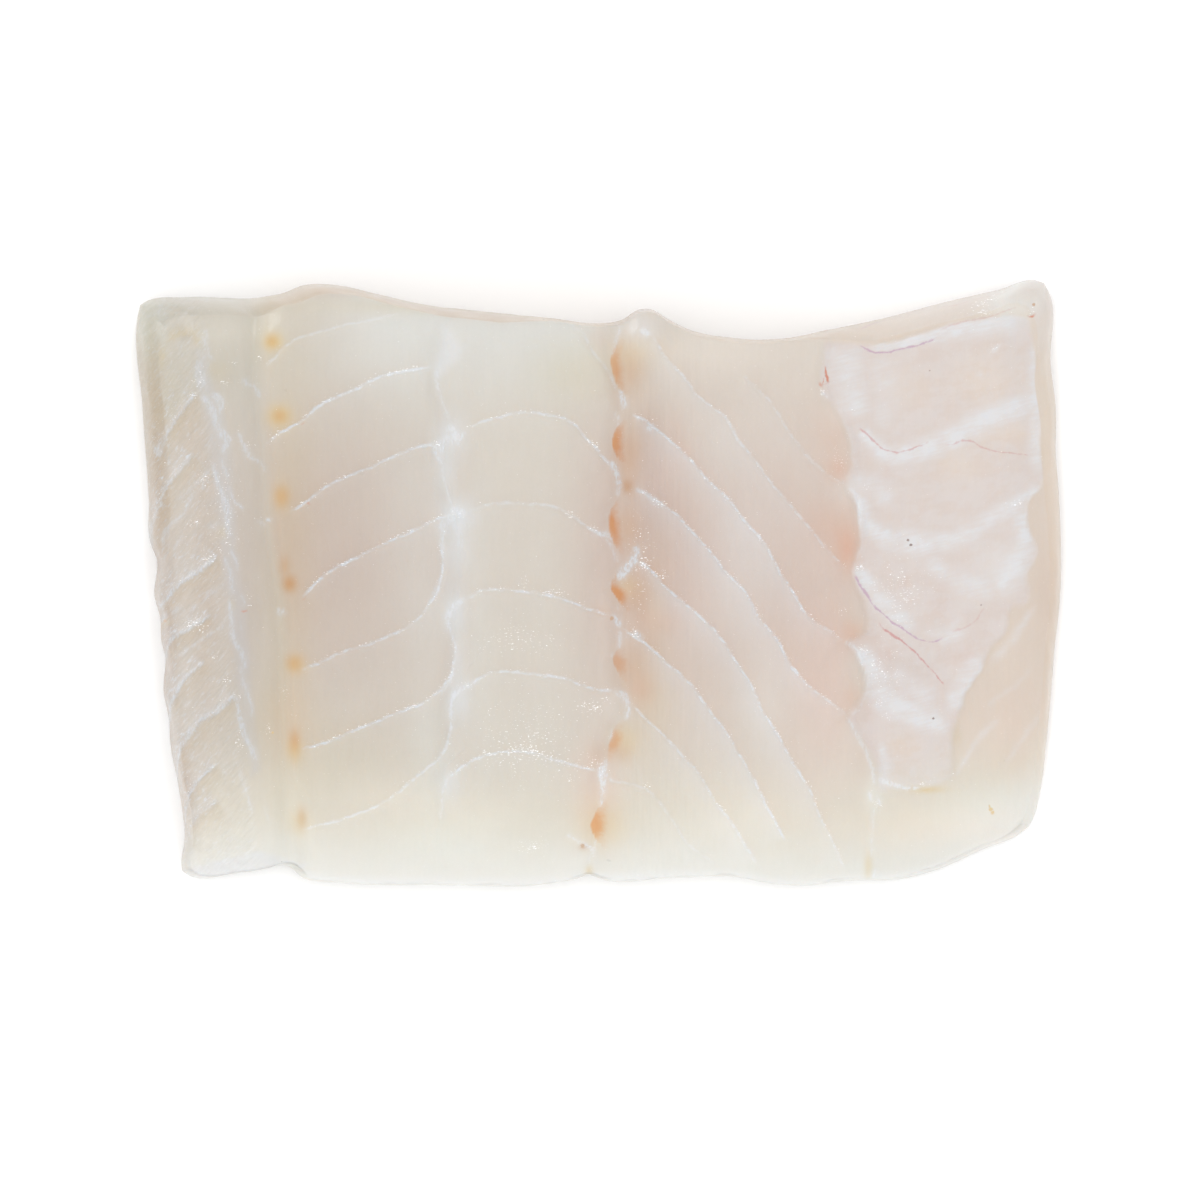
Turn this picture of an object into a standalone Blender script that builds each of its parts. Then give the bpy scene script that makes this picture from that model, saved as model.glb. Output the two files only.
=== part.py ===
"""A portion of skinless cod: a block cut straight across one side of the fish, lying on its skin side.

+X runs across the side from the back of the fish to its belly, +Y towards its head and +Z up. The origin is
the middle of the footprint, at the level of the board that the portion lies on. The tables below are in
millimetres, as (x, y) seen from above; the mesh is in metres.
"""

import bpy
import numpy as np

MM = 0.001

# Driving dimensions, in millimetres.
LENGTH = 138.8  # across the side of the fish, along X
WIDTH = 91.1  # along the fish, along Y
LOIN_HEIGHT = 22.0  # at the thickest place, between the first two valleys

# Rolled edges of the upper surface: how far in the roll reaches, and the share of the height left at the rim.
FRONT_ROLL, FRONT_RIM = 14.0, 0.26
BACK_ROLL, BACK_RIM = 4.0, 0.93
LEFT_ROLL, LEFT_RIM = 6.0, 0.82
RIGHT_ROLL, RIGHT_RIM = 6.0, 0.80
BASE_TUCK = 2.2  # how far the underside stops short of the outline
BASE_RISE = 0.3  # height of the underside at its edge, round the flat foot that the portion rests on
FOOT = [(-58, 32), (58, 32), (56, -33), (-56, -38)]  # corners of the flat foot, from the back left
FOOT_BRIM = 1.02  # a ring round the foot, this many times its size, from which the underside rises
ROLL_FULLNESS = 0.8  # under 1 the roll of an edge is fuller than a quarter circle

# Relief of the upper surface.
SEAM_DEPTH, SEAM_REACH = 0.55, 1.2  # groove between two flakes
SEAM_FADE = 1.6  # a seam grows shallow over this distance from each of its ends
TERRACE_HEIGHT, TERRACE_REACH = 0.35, 4.0  # each flake lies a little over the one in front of it
TERRACE_LIP = 0.6  # half the width of the step from one flake up to the next
FRINGE_DEPTH, FRINGE_REACH = 0.5, 1.0  # grooves between the thin flakes along the back of the fish
FRINGE_DROP, FRINGE_SLOPE = 1.6, 1.4  # the fringe lies lower than the loin
FLAP_DROP, FLAP_SLOPE = 1.0, 1.2  # the belly flap lies lower than the last row of flakes
LINING_THICKNESS, LINING_SLOPE = 0.35, 0.6  # thin skin of the belly lining
WALL_GROOVE = 0.45  # depth of the seams where they run down the cut faces
KNOB_HEIGHT, KNOB_RADIUS = 0.5, 3.0  # knob on the rear rim, over the third valley
KNOB_PLACE = (7.4, 38.6)

# The outline from above, each side as a smooth curve through the points that its shape needs.
BACK_EDGE = [
    (-68.9, 41.6), (-67.9, 42.2), (-62.0, 42.8), (-50.5, 42.8), (-47.3, 43.4), (-44.5, 44.5),
    (-38.8, 44.5), (-33.5, 43.3), (-26.8, 41.8), (-17.8, 40.7), (-8.0, 39.7), (0.2, 38.9),
    (3.5, 39.4), (6.2, 40.9), (8.0, 40.9), (10.4, 39.5), (13.7, 37.9), (19.7, 36.7),
    (27.2, 36.5), (34.7, 37.9), (43.7, 39.8), (51.2, 41.8), (60.2, 43.9), (65.9, 45.3), (67.1, 44.9),
]
FRONT_EDGE = [
    (-62.6, -43.3), (-61.8, -43.9), (-54.5, -43.7), (-50.5, -43.1), (-48.5, -42.5), (-46.6, -42.7),
    (-44.5, -44.3), (-38.8, -45.1), (-23.8, -45.4), (-8.8, -45.4), (-3.1, -44.5), (-1.4, -44.0), (0.5, -44.6),
    (12.2, -44.3), (21.2, -44.3), (25.7, -45.2), (31.7, -45.5), (37.7, -44.8), (46.0, -44.5),
    (52.0, -42.8), (58.0, -40.1), (63.3, -37.9), (64.9, -36.6),
]
LEFT_EDGE = [
    (-68.9, 41.6), (-69.3, 39.5), (-68.5, 26.0), (-67.6, 12.5), (-67.3, 5.8), (-66.4, 3.5),
    (-66.7, -2.2), (-65.9, -5.2), (-65.6, -9.2), (-65.2, -10.7), (-65.3, -16.7), (-64.6, -20.2),
    (-64.4, -23.5), (-62.8, -32.5), (-62.2, -38.5), (-62.7, -42.2), (-62.6, -43.3),
]
RIGHT_EDGE = [
    (67.1, 44.9), (67.9, 43.4), (68.1, 32.8), (68.6, 26.0), (68.5, 19.3), (69.2, 14.0),
    (69.4, -4.0), (68.3, -10.0), (67.7, -17.5), (67.1, -25.0), (66.3, -31.7), (65.7, -35.0), (64.9, -36.6),
]

# How far the rim of the upper surface stands in from the outline, because the cut faces lean outwards.
BACK_LEAN = [
    (-69, 3.0), (-54, 3.0), (-50, 1.6), (-36, 1.8), (-16, 1.8), (-8, 0.7), (10, 0.6), (30, 0.7),
    (37, 2.2), (42, 3.6), (67, 3.7),
]
FRONT_LEAN = 0.4
LEFT_LEAN = [(-44, 1.4), (-10, 1.8), (12, 3.6), (42, 3.8)]
RIGHT_LEAN = [(-37, 1.4), (0, 1.8), (30, 2.6), (45, 2.6)]

# The cut faces from the rim down to the underside: share of the lean, share of the height, share of the tuck.
WALL_PROFILE = [
    (0.0, 1.0, 0.0), (0.12, 0.985, 0.0), (0.38, 0.92, 0.0), (0.62, 0.78, 0.0), (0.82, 0.58, 0.0),
    (0.96, 0.36, 0.0), (1.0, 0.2, 0.02), (1.0, 0.1, 0.18), (1.0, 0.03, 0.5), (1.0, 0.0, 1.0),
]

# The section across the fish: height over the board, as a share of the loin's.
CROSS_SECTION = [
    (-70, 0.70), (-60, 0.80), (-50, 0.90), (-40, 0.96), (-25, 1.0), (-10, 0.995), (0, 0.95),
    (6, 0.93), (14, 0.91), (26, 0.82), (40, 0.68), (52, 0.57), (62, 0.50), (70, 0.45),
]

# Valleys that run along the fish between the rows of flakes, with the depth and half-width of each.
VALLEYS = [
    (0.7, 1.8, [(-50.5, 38.8), (-50.5, 29.0), (-49.0, 9.5), (-46.6, -14.5), (-45.2, -43.0)]),
    (0.5, 1.6, [(-22.3, 38.8), (-23.8, 29.0), (-22.6, 14.0), (-20.5, 2.0), (-22.7, -28.7), (-23.6, -41.5)]),
    (1.4, 2.6, [(0.8, 38.0), (2.9, 18.5), (3.1, -17.5), (0.2, -34.0), (-1.0, -43.0)]),
]
LOIN_STEP_LINE = VALLEYS[0][2]
FRINGE_SEPTUM = [(-59.0, 39.5), (-58.3, 26.8), (-55.9, 12.5), (-55.0, -2.5), (-52.0, -31.0), (-50.5, -41.5)]
LINING_LEFT = [
    (35.9, 35.8), (37.7, 21.5), (38.0, 14.8), (39.2, 6.5), (37.9, 1.0), (40.4, -7.3), (38.6, -10.7),
    (40.0, -15.2), (38.3, -19.7), (40.7, -26.5), (41.2, -32.5),
]
LINING_RIGHT = [
    (63.5, 40.7), (65.2, 34.3), (66.4, 27.5), (65.8, 15.5), (64.7, 10.3), (65.5, 4.3), (61.7, -3.7),
    (54.5, -18.2), (53.0, -22.7), (53.6, -28.0), (52.0, -31.3),
]
LINING_END = -31.5

# Seams between the flakes, one row for each: both ends, and how far the middle bows towards the head.
LOIN_SEAMS = [
    ((-50.0, 32.3), (-29.8, 40.1), 1.5),
    ((-49.6, 20.9), (-22.0, 32.6), 1.4),
    ((-46.0, 10.7), (-22.6, 21.4), 0.4),
    ((-44.5, -2.2), (-21.0, 11.2), 0.4),
    ((-44.3, -13.0), (-21.4, 0.0), -1.5),
    ((-44.3, -24.8), (-21.4, -11.0), -1.8),
    ((-44.3, -37.0), (-22.2, -21.0), -1.9),
]
MIDDLE_SEAMS = [
    ((-5.0, 38.8), (4.0, 26.8), 0.6),
    ((-21.6, 22.6), (2.0, 17.3), 4.6),
    ((-20.5, 10.6), (1.7, 6.8), 2.4),
    ((-22.0, -5.8), (1.7, -4.7), 4.2),
    ((-21.8, -16.7), (4.0, -17.2), 3.4),
    ((-23.0, -29.5), (0.2, -28.0), 3.6),
]
BELLY_SEAMS = [
    ((21.5, 31.3), (37.4, 14.0), 0.6),
    ((7.4, 37.3), (37.7, 1.3), 0.8),
    ((4.4, 25.7), (37.0, -8.9), 2.0),
    ((5.6, 14.0), (37.0, -19.7), 2.2),
    ((6.2, 3.2), (34.0, -36.0), 4.6),
    ((3.5, -6.2), (28.0, -38.5), 3.6),
    ((4.7, -17.8), (23.5, -42.2), 2.0),
]
FRINGE_SEAMS = 9  # thin overlapping flakes between the left edge and the fringe's septum
FRINGE_PITCH = 7.6
FRINGE_TOP = 21.0  # where the first of them meets the left edge
FRINGE_RISE = 9.5  # how far each climbs towards the head on its way to the septum
FRINGE_BOW = -0.8

# Mesh: a fine grid is shaped first, and is then thinned where the surface is plain.
GRID_ACROSS, GRID_ALONG = 300, 200
WALL_RINGS = 12
SEAM_SAMPLES = 24
LINE_SAMPLES = 60
TRIANGLES = 10400


def curve_through(points, count):
    """Points at even distances along the smooth curve that passes through the given ones."""
    p = np.array(points, float)
    chord = np.concatenate([[0], np.cumsum(np.linalg.norm(np.diff(p, axis=0), axis=1))])
    slope = np.gradient(p, chord, axis=0)
    at = np.linspace(0, chord[-1], 12 * len(p))
    k = np.clip(np.searchsorted(chord, at, side="right") - 1, 0, len(p) - 2)
    span = (chord[k + 1] - chord[k])[:, None]
    t = (at - chord[k])[:, None] / span
    curve = (1 + 2 * t) * (1 - t) ** 2 * p[k] + t**2 * (3 - 2 * t) * p[k + 1]
    curve += span * t * (1 - t) * ((1 - t) * slope[k] - t * slope[k + 1])
    run = np.concatenate([[0], np.cumsum(np.linalg.norm(np.diff(curve, axis=0), axis=1))])
    even = np.linspace(0, run[-1], count)
    return np.stack([np.interp(even, run, column) for column in curve.T], axis=1)


def bowed(start, end, bow):
    """A seam as points on a parabola from start to end, whose middle lies `bow` off the straight line."""
    t = np.linspace(0, 1, SEAM_SAMPLES)[:, None]
    start, end = np.array(start), np.array(end)
    along = (end - start) / np.linalg.norm(end - start)
    across = np.array([-along[1], along[0]])
    return start + (end - start) * t + across * bow * 4 * t * (1 - t)


def smooth_step(x, width):
    """Rises smoothly from 0 to 1 while x goes from -width to width."""
    t = np.clip(0.5 + 0.5 * x / width, 0, 1)
    return t * t * (3 - 2 * t)


def nearest_on(line, x, y):
    """Each point's distance from a line of straight runs, positive to its right, and to the line's end."""
    best = np.full(x.shape, np.inf)
    side = np.zeros(x.shape)
    at = np.zeros(x.shape)
    run = 0.0
    for (ax, ay), (bx, by) in zip(line[:-1], line[1:]):
        dx, dy = bx - ax, by - ay
        length = np.hypot(dx, dy)
        t = np.clip(((x - ax) * dx + (y - ay) * dy) / length**2, 0, 1)
        gap = np.hypot(x - ax - t * dx, y - ay - t * dy)
        nearer = gap < best
        side = np.where(nearer, (x - ax) * dy - (y - ay) * dx, side)
        at = np.where(nearer, run + t * length, at)
        best = np.where(nearer, gap, best)
        run += length
    return np.where(side < 0, -best, best), np.minimum(at, run - at)


def trough(gap, reach):
    """The section of a groove: 1 along its line, and almost nothing at twice its reach."""
    return np.exp(-((gap / reach) ** 2))


def line_at(points, y):
    """The x of a line that runs along the fish, at each y."""
    line = curve_through(points, LINE_SAMPLES)[::-1]
    return np.interp(y, line[:, 1], line[:, 0])


def flake_seams():
    rows = LOIN_SEAMS + MIDDLE_SEAMS + BELLY_SEAMS
    return [bowed(*row) for row in rows]


def fringe_seams():
    """The thin flakes of the fringe, one every FRINGE_PITCH down the left edge."""
    seams = []
    for i in range(FRINGE_SEAMS):
        low = FRINGE_TOP - i * FRINGE_PITCH
        high = low + FRINGE_RISE
        start = (line_at(LEFT_EDGE, low), low)
        end = (line_at(FRINGE_SEPTUM, high), high)
        seams.append(bowed(start, end, FRINGE_BOW))
    return seams


def flake_relief(x, y):
    """Grooves and terraces of the flakes, the valleys between their rows and the fringe's thin flakes."""
    terrace = np.zeros(x.shape)
    groove = np.zeros(x.shape)
    for seam in flake_seams():
        gap, to_end = nearest_on(seam, x, y)
        there = smooth_step(to_end - SEAM_FADE / 2, SEAM_FADE / 2)
        groove = np.maximum(groove, SEAM_DEPTH * there * trough(gap, SEAM_REACH))
        lift = TERRACE_HEIGHT * there * smooth_step(gap, TERRACE_LIP) * np.exp(-np.abs(gap) / TERRACE_REACH)
        terrace = np.maximum(terrace, lift)
    for seam in [curve_through(FRINGE_SEPTUM, LINE_SAMPLES), *fringe_seams()]:
        gap, _ = nearest_on(seam, x, y)
        groove = np.maximum(groove, FRINGE_DEPTH * trough(gap, FRINGE_REACH))
    valleys = np.zeros(x.shape)
    for depth, reach, points in VALLEYS:
        gap, _ = nearest_on(curve_through(points, LINE_SAMPLES), x, y)
        valleys += depth * trough(gap, reach)
    return terrace - groove - valleys


def large_forms(x, y):
    """The low fringe, the step down to the belly flap with its thin lining, and the knob."""
    z = -FRINGE_DROP * (1 - smooth_step(x - line_at(LOIN_STEP_LINE, y), FRINGE_SLOPE))
    into_flap = smooth_step(x - line_at(LINING_LEFT, y), FLAP_SLOPE)
    z = z - FLAP_DROP * into_flap
    left_of_border = smooth_step(line_at(LINING_RIGHT, y) - x, LINING_SLOPE)
    behind_its_end = smooth_step(y - LINING_END, LINING_SLOPE)
    z = z + LINING_THICKNESS * left_of_border * behind_its_end * into_flap
    to_knob = np.hypot(x - KNOB_PLACE[0], y - KNOB_PLACE[1])
    return z + KNOB_HEIGHT * np.exp(-((to_knob / KNOB_RADIUS) ** 2))


def rolled(inward, reach, rim):
    """Share of the height left at this distance inward from a rolled edge."""
    return rim + (1 - rim) * np.sin(0.5 * np.pi * np.clip(inward / reach, 0, 1)) ** ROLL_FULLNESS


def surface_height(x, y):
    """Height of the upper surface over its grid of points, whose first row is at the back."""
    section = np.array(CROSS_SECTION)
    share = np.interp(x, *curve_through(section * (1, LENGTH), GRID_ACROSS).T) / LENGTH
    share = share * rolled(y - y[-1], FRONT_ROLL, FRONT_RIM) * rolled(y[0] - y, BACK_ROLL, BACK_RIM)
    share = share * rolled(x - x[:, :1], LEFT_ROLL, LEFT_RIM) * rolled(x[:, -1:] - x, RIGHT_ROLL, RIGHT_RIM)
    return LOIN_HEIGHT * share + flake_relief(x, y) + large_forms(x, y)


def outline_sides():
    """The back, front, left and right sides, stretched to the driving length and width about their middle."""
    across = [curve_through(edge, GRID_ACROSS) for edge in (BACK_EDGE, FRONT_EDGE)]
    along = [curve_through(edge, GRID_ALONG) for edge in (LEFT_EDGE, RIGHT_EDGE)]
    outline = np.concatenate(across + along)
    low, high = outline.min(0), outline.max(0)
    return [(side - (low + high) / 2) * (LENGTH, WIDTH) / (high - low) for side in across + along]


def outline_patch():
    """A grid of points that fills the outline, blended from its four sides, first row at the back."""
    back, front, left, right = outline_sides()
    u = np.linspace(0, 1, GRID_ACROSS)[None, :, None]
    v = np.linspace(0, 1, GRID_ALONG)[:, None, None]
    sides = (1 - v) * back + v * front + (1 - u) * left[:, None] + u * right[:, None]
    ends = (1 - v) * ((1 - u) * back[0] + u * back[-1]) + v * ((1 - u) * front[0] + u * front[-1])
    return sides - ends


def drawn_in(patch, lean, tuck):
    """The patch with its sides moved in by `lean` of the rim's distances and `tuck` of the underside's."""
    x, y = patch[..., 0], patch[..., 1]
    u = np.linspace(0, 1, GRID_ACROSS)[None, :]
    v = np.linspace(0, 1, GRID_ALONG)[:, None]
    from_left = lean * np.interp(y, *np.array(LEFT_LEAN).T) + tuck * BASE_TUCK
    from_right = lean * np.interp(y, *np.array(RIGHT_LEAN).T) + tuck * BASE_TUCK
    from_back = lean * np.interp(x, *np.array(BACK_LEAN).T) + tuck * BASE_TUCK
    from_front = lean * FRONT_LEAN + tuck * BASE_TUCK
    inward_x = (1 - u) * from_left - u * from_right
    inward_y = v * from_front - (1 - v) * from_back
    return np.stack([x + inward_x, y + inward_y], axis=-1)


def round_the_edge(grid):
    """The border of a grid as one ring: along the back, down the right, along the front and up the left."""
    return np.concatenate([grid[0, :-1], grid[:-1, -1], grid[-1, :0:-1], grid[:0:-1, 0]])


def wall_rings(patch, rim_height):
    """Rings of points down the cut faces, each further out than the rim until the edge tucks under."""
    rim = round_the_edge(drawn_in(patch, 1, 0))
    groove = WALL_GROOVE * np.clip(-flake_relief(rim[:, 0], rim[:, 1]) / SEAM_DEPTH, 0, 1)
    along = np.roll(rim, -2, axis=0) - np.roll(rim, 2, axis=0)
    inward = np.stack([along[:, 1], -along[:, 0]], axis=1) / np.linalg.norm(along, axis=1)[:, None]
    profile = np.array(WALL_PROFILE)
    steps = np.linspace(0, len(profile) - 1, WALL_RINGS + 1)[1:]
    rings = []
    for lean, height, tuck in zip(*(np.interp(steps, range(len(profile)), share) for share in profile.T)):
        ring = round_the_edge(drawn_in(patch, 1 - lean, tuck)) + inward * groove[:, None] * height
        rings.append(np.column_stack([ring, BASE_RISE + height * (rim_height - BASE_RISE)]))
    return rings


def foot_brim():
    """A ring of points round the foot, each below one point of the rings of the cut faces."""
    corners = np.array(FOOT) * FOOT_BRIM
    sides = zip(corners, np.roll(corners, -1, axis=0), 2 * (GRID_ACROSS - 1, GRID_ALONG - 1))
    ring = np.concatenate([np.linspace(start, end, count, endpoint=False) for start, end, count in sides])
    return np.column_stack([ring, np.full(len(ring), BASE_RISE / 2)])


def foot_faces(brim, edge, corners):
    """The flat foot and the faces between it and its brim. edge and corners are numbers of points."""
    to_corner = np.linalg.norm(brim[:, None, :2] - np.array(FOOT), axis=2)
    corner = corners[to_corner.argmin(axis=1)]
    faces = [corners.tolist()]
    for k in range(len(edge)):
        after = (k + 1) % len(edge)
        faces.append([int(edge[k]), int(edge[after]), int(corner[k])])
        if corner[after] != corner[k]:
            faces.append([int(corner[k]), int(edge[after]), int(corner[after])])
    return faces


def portion_mesh():
    """The closed mesh: the upper surface as a grid, the cut faces as rings below it, and the underside."""
    patch = outline_patch()
    top = drawn_in(patch, 1, 0)
    height = surface_height(top[..., 0], top[..., 1])
    rings = [*wall_rings(patch, round_the_edge(height)), foot_brim()]
    foot = np.column_stack([FOOT, np.zeros(len(FOOT))])  # last, so that make_portion() finds it
    points = np.concatenate([np.dstack([top, height]).reshape(-1, 3), *rings, foot])
    number = np.arange(GRID_ACROSS * GRID_ALONG).reshape(GRID_ALONG, GRID_ACROSS)
    corners = [number[1:, :-1], number[1:, 1:], number[:-1, 1:], number[:-1, :-1]]
    faces = np.stack(corners, axis=-1).reshape(-1, 4).tolist()
    above = round_the_edge(number)
    for i in range(len(rings)):
        below = number.size + i * len(above) + np.arange(len(above))
        faces += np.stack([above, np.roll(above, -1), np.roll(below, -1), below], axis=-1).tolist()
        above = below
    faces += foot_faces(rings[-1], above, len(points) - len(foot) + np.arange(len(foot)))
    mesh = bpy.data.meshes.new("cod_portion")
    mesh.from_pydata((points * MM).tolist(), [], faces)
    return mesh


def raw_cod():
    """Wet, almost white flesh."""
    material = bpy.data.materials.new("raw_cod")
    material.use_nodes = True
    shader = material.node_tree.nodes["Principled BSDF"]
    shader.inputs["Base Color"].default_value = (0.69, 0.61, 0.53, 1)
    shader.inputs["Roughness"].default_value = 0.35
    shader.inputs["Metallic"].default_value = 0
    return material


def make_portion():
    mesh = portion_mesh()
    mesh.materials.append(raw_cod())
    mesh.shade_smooth()
    portion = bpy.data.objects.new("cod_portion", mesh)
    bpy.context.scene.collection.objects.link(portion)
    thinned = portion.vertex_groups.new(name="all_but_the_foot")
    thinned.add(list(range(len(mesh.vertices) - len(FOOT))), 1, "REPLACE")
    thin = portion.modifiers.new("thin_plain_areas", "DECIMATE")
    thin.vertex_group = thinned.name
    mesh.calc_loop_triangles()
    thin.ratio = TRIANGLES / len(mesh.loop_triangles)
    thin.use_collapse_triangulate = True
    return portion


def main():
    for old in list(bpy.data.objects):
        bpy.data.objects.remove(old)
    make_portion()


main()
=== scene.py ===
"""A skinless cod portion on a pale studio floor.

+X runs across the side of the fish from its back to its belly, +Y towards its head and +Z up, and the origin
is the middle of the footprint. Sizes and heights are in millimetres. Markings are placed in pixels of the
photograph, which looks straight down on the portion, and on_fish() turns them into millimetres.
"""

import bpy
import numpy as np
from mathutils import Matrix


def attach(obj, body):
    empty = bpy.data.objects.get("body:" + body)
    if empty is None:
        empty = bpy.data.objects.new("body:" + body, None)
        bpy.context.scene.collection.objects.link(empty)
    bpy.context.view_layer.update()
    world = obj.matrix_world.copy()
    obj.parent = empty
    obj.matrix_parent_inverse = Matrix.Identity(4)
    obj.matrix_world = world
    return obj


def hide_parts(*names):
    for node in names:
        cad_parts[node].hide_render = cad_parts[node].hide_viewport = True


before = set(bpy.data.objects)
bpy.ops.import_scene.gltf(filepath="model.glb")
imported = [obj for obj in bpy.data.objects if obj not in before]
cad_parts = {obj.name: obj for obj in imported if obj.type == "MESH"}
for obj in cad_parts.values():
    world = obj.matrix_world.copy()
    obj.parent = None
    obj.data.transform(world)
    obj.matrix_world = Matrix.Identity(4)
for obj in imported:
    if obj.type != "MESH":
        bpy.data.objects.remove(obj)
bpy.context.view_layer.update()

MM = 0.001
MM_PER_PIXEL = 0.15
PIXEL_CENTRE = (598.5, 583.5)  # the pixel over the origin

# The same driving dimensions as the solid's, in millimetres.
LENGTH = 138.8
WIDTH = 91.1
LOIN_HEIGHT = 22.0

# Rolled edges of the upper surface: how far in the roll reaches, and the share of the height left at the rim.
# The front one's fullness is the power of its curve, and the tuck is how far in the underside's edge lies.
FRONT_ROLL, FRONT_RIM, FRONT_FULLNESS = 14.0, 0.26, 0.8
BACK_ROLL, BACK_RIM = 4.0, 0.93
LEFT_ROLL, LEFT_RIM = 6.0, 0.82
RIGHT_ROLL, RIGHT_RIM = 6.0, 0.80
BASE_TUCK = 2.2

BASE_RISE = 0.3  # how far the underside rises from where the portion rests to its edge
UNDERSIDE_TUCK = 1.5  # how much further in the underside's flat part begins, as a multiple of the tuck

# Relief.
SEAM_DEPTH, SEAM_REACH = 0.14, 0.45
TERRACE_HEIGHT, TERRACE_REACH, TERRACE_LIP = 0.28, 4.5, 0.6
FRINGE_DROP, FRINGE_SLOPE = 1.6, 1.4
FLAP_DROP, FLAP_SLOPE = 1.0, 1.0
LINING_THICKNESS, LINING_SLOPE = 0.3, 0.4
VEIL_RELIEF = 0.8  # how much thicker the lining is under a full veil, as a share
FLAKE_END_HEIGHT, FLAKE_END_GROOVE = 0.26, 0.08  # at the ends of the thin flakes of the fringe
ROUGH_REACH, SMOOTH_REACH = 2.2, 1.6  # of the rough flesh above such an end, and of the smooth band below it
KNOB_HEIGHT, KNOB_RADIUS = 0.5, 3.0  # knob on the rear rim, over the third valley
KNOB_PLACE = (7.4, 38.6)
SEPTUM_SLOPE = 0.9  # how far a seam drifts inwards for each millimetre that it runs down a cut face
WALL_GROOVE = 0.5  # depth of a seam on a cut face, as a share of its depth at the rim

# Smooth uneven waves, in millimetres: height, distance between crests, and seed.
WANDER_ACROSS, WANDER_ALONG = [(0.10, 2.4, 21), (0.22, 8, 22)], [(0.10, 2.4, 23), (0.22, 8, 24)]
LUMPS, FURROWS, WALL_LUMPS = [(0.05, 9, 3)], [(0.025, 5, 4)], [(0.12, 6, 9)]
FURROW_SQUEEZE = 3  # the furrows run along the fish, and are this much narrower across it
VEIL_WAVES = [(0.22, 4, 31)]

# Outline from above, in millimetres, each side as a smooth curve through these points.
BACK_EDGE = [
    (-68.9, 41.6), (-67.9, 42.2), (-62.0, 42.8), (-50.5, 42.8), (-47.3, 43.4), (-44.5, 44.5), (-38.8, 44.5),
    (-33.5, 43.3), (-26.8, 41.8), (-17.8, 40.7), (-8.0, 39.7), (0.2, 38.9), (3.5, 39.4), (6.2, 40.9),
    (8.0, 40.9), (10.4, 39.5), (13.7, 37.9), (19.7, 36.7), (27.2, 36.5), (34.7, 37.9), (43.7, 39.8),
    (51.2, 41.8), (60.2, 43.9), (65.9, 45.3), (67.1, 44.9),
]
FRONT_EDGE = [
    (-62.6, -43.3), (-61.8, -43.9), (-54.5, -43.7), (-50.5, -43.1), (-48.5, -42.5), (-46.6, -42.7),
    (-44.5, -44.3), (-38.8, -45.1), (-23.8, -45.4), (-8.8, -45.4), (-3.1, -44.5), (-1.4, -44.0),
    (0.5, -44.6), (12.2, -44.3), (21.2, -44.3), (25.7, -45.2), (31.7, -45.5), (37.7, -44.8), (46.0, -44.5),
    (52.0, -42.8), (58.0, -40.1), (63.3, -37.9), (64.9, -36.6),
]
LEFT_EDGE = [
    (-68.9, 41.6), (-69.3, 39.5), (-68.5, 26.0), (-67.6, 12.5), (-67.3, 5.8), (-66.4, 3.5), (-66.7, -2.2),
    (-65.9, -5.2), (-65.6, -9.2), (-65.2, -10.7), (-65.3, -16.7), (-64.6, -20.2), (-64.4, -23.5),
    (-62.8, -32.5), (-62.2, -38.5), (-62.7, -42.2), (-62.6, -43.3),
]
RIGHT_EDGE = [
    (67.1, 44.9), (67.9, 43.4), (68.1, 32.8), (68.9, 26.0), (68.9, 19.3), (69.3, 14.0), (69.4, -4.0),
    (68.7, -10.0), (68.1, -17.5), (67.4, -25.0), (66.5, -31.7), (65.7, -35.0), (64.9, -36.6),
]
BACK_LEAN = [
    (-69, 3.0), (-54, 3.0), (-50, 1.6), (-36, 1.8), (-16, 1.8), (-8, 0.7), (10, 0.6), (30, 0.7), (37, 2.2),
    (42, 3.6), (67, 3.7),
]
FRONT_LEAN = 0.4
LEFT_LEAN = [(-44, 1.4), (-10, 1.8), (12, 3.6), (42, 3.8)]
RIGHT_LEAN = [(-37, 1.4), (0, 1.8), (30, 2.6), (45, 2.6)]
WALL_PROFILE = [
    (0.0, 1.0, 0.0), (0.12, 0.965, 0.0), (0.38, 0.89, 0.0), (0.62, 0.77, 0.0), (0.82, 0.58, 0.0),
    (0.96, 0.36, 0.0), (1.0, 0.2, 0.02), (1.0, 0.1, 0.18), (1.0, 0.03, 0.5), (1.0, 0.0, 1.0),
]
CROSS_SECTION = [
    (-70, 0.70), (-60, 0.80), (-50, 0.90), (-40, 0.96), (-25, 1.0), (-10, 0.995), (0, 0.95), (6, 0.93),
    (14, 0.91), (26, 0.82), (40, 0.68), (52, 0.57), (62, 0.50), (70, 0.45),
]

# Valleys between the rows of flakes, in pixels: depth, half-width on the left and on the right, line.
VALLEYS = [
    (0.35, 1.8, 1.8, [(262, 322), (262, 390), (267, 430), (270, 470), (275, 540), (285, 600), (288, 680),
        (291, 800), (297, 870)]),
    (0.5, 1.6, 1.6, [(450, 325), (440, 390), (451, 430), (448, 490), (456, 520), (457, 640), (447, 775),
        (441, 860)]),
    (0.65, 1.5, 3.0, [(618, 322), (611, 360), (614, 378), (622, 404), (617, 418), (614, 445), (618, 470),
        (619, 494), (612, 512), (611, 530), (617, 556), (619, 576), (613, 590), (620, 606), (618, 626),
        (619, 650), (617, 664), (626, 690), (629, 706), (620, 724), (611, 744), (604, 770), (601, 806),
        (593, 826), (595, 842), (590, 878)]),
]
LOIN_STEP_LINE = VALLEYS[0][3]
# Where the thin flakes of the fringe end, in pixels.
FLAKES_END = [
    (206, 315), (212, 400), (220, 480), (226, 560), (234, 650), (240, 710), (252, 790), (262, 880),
]

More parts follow.
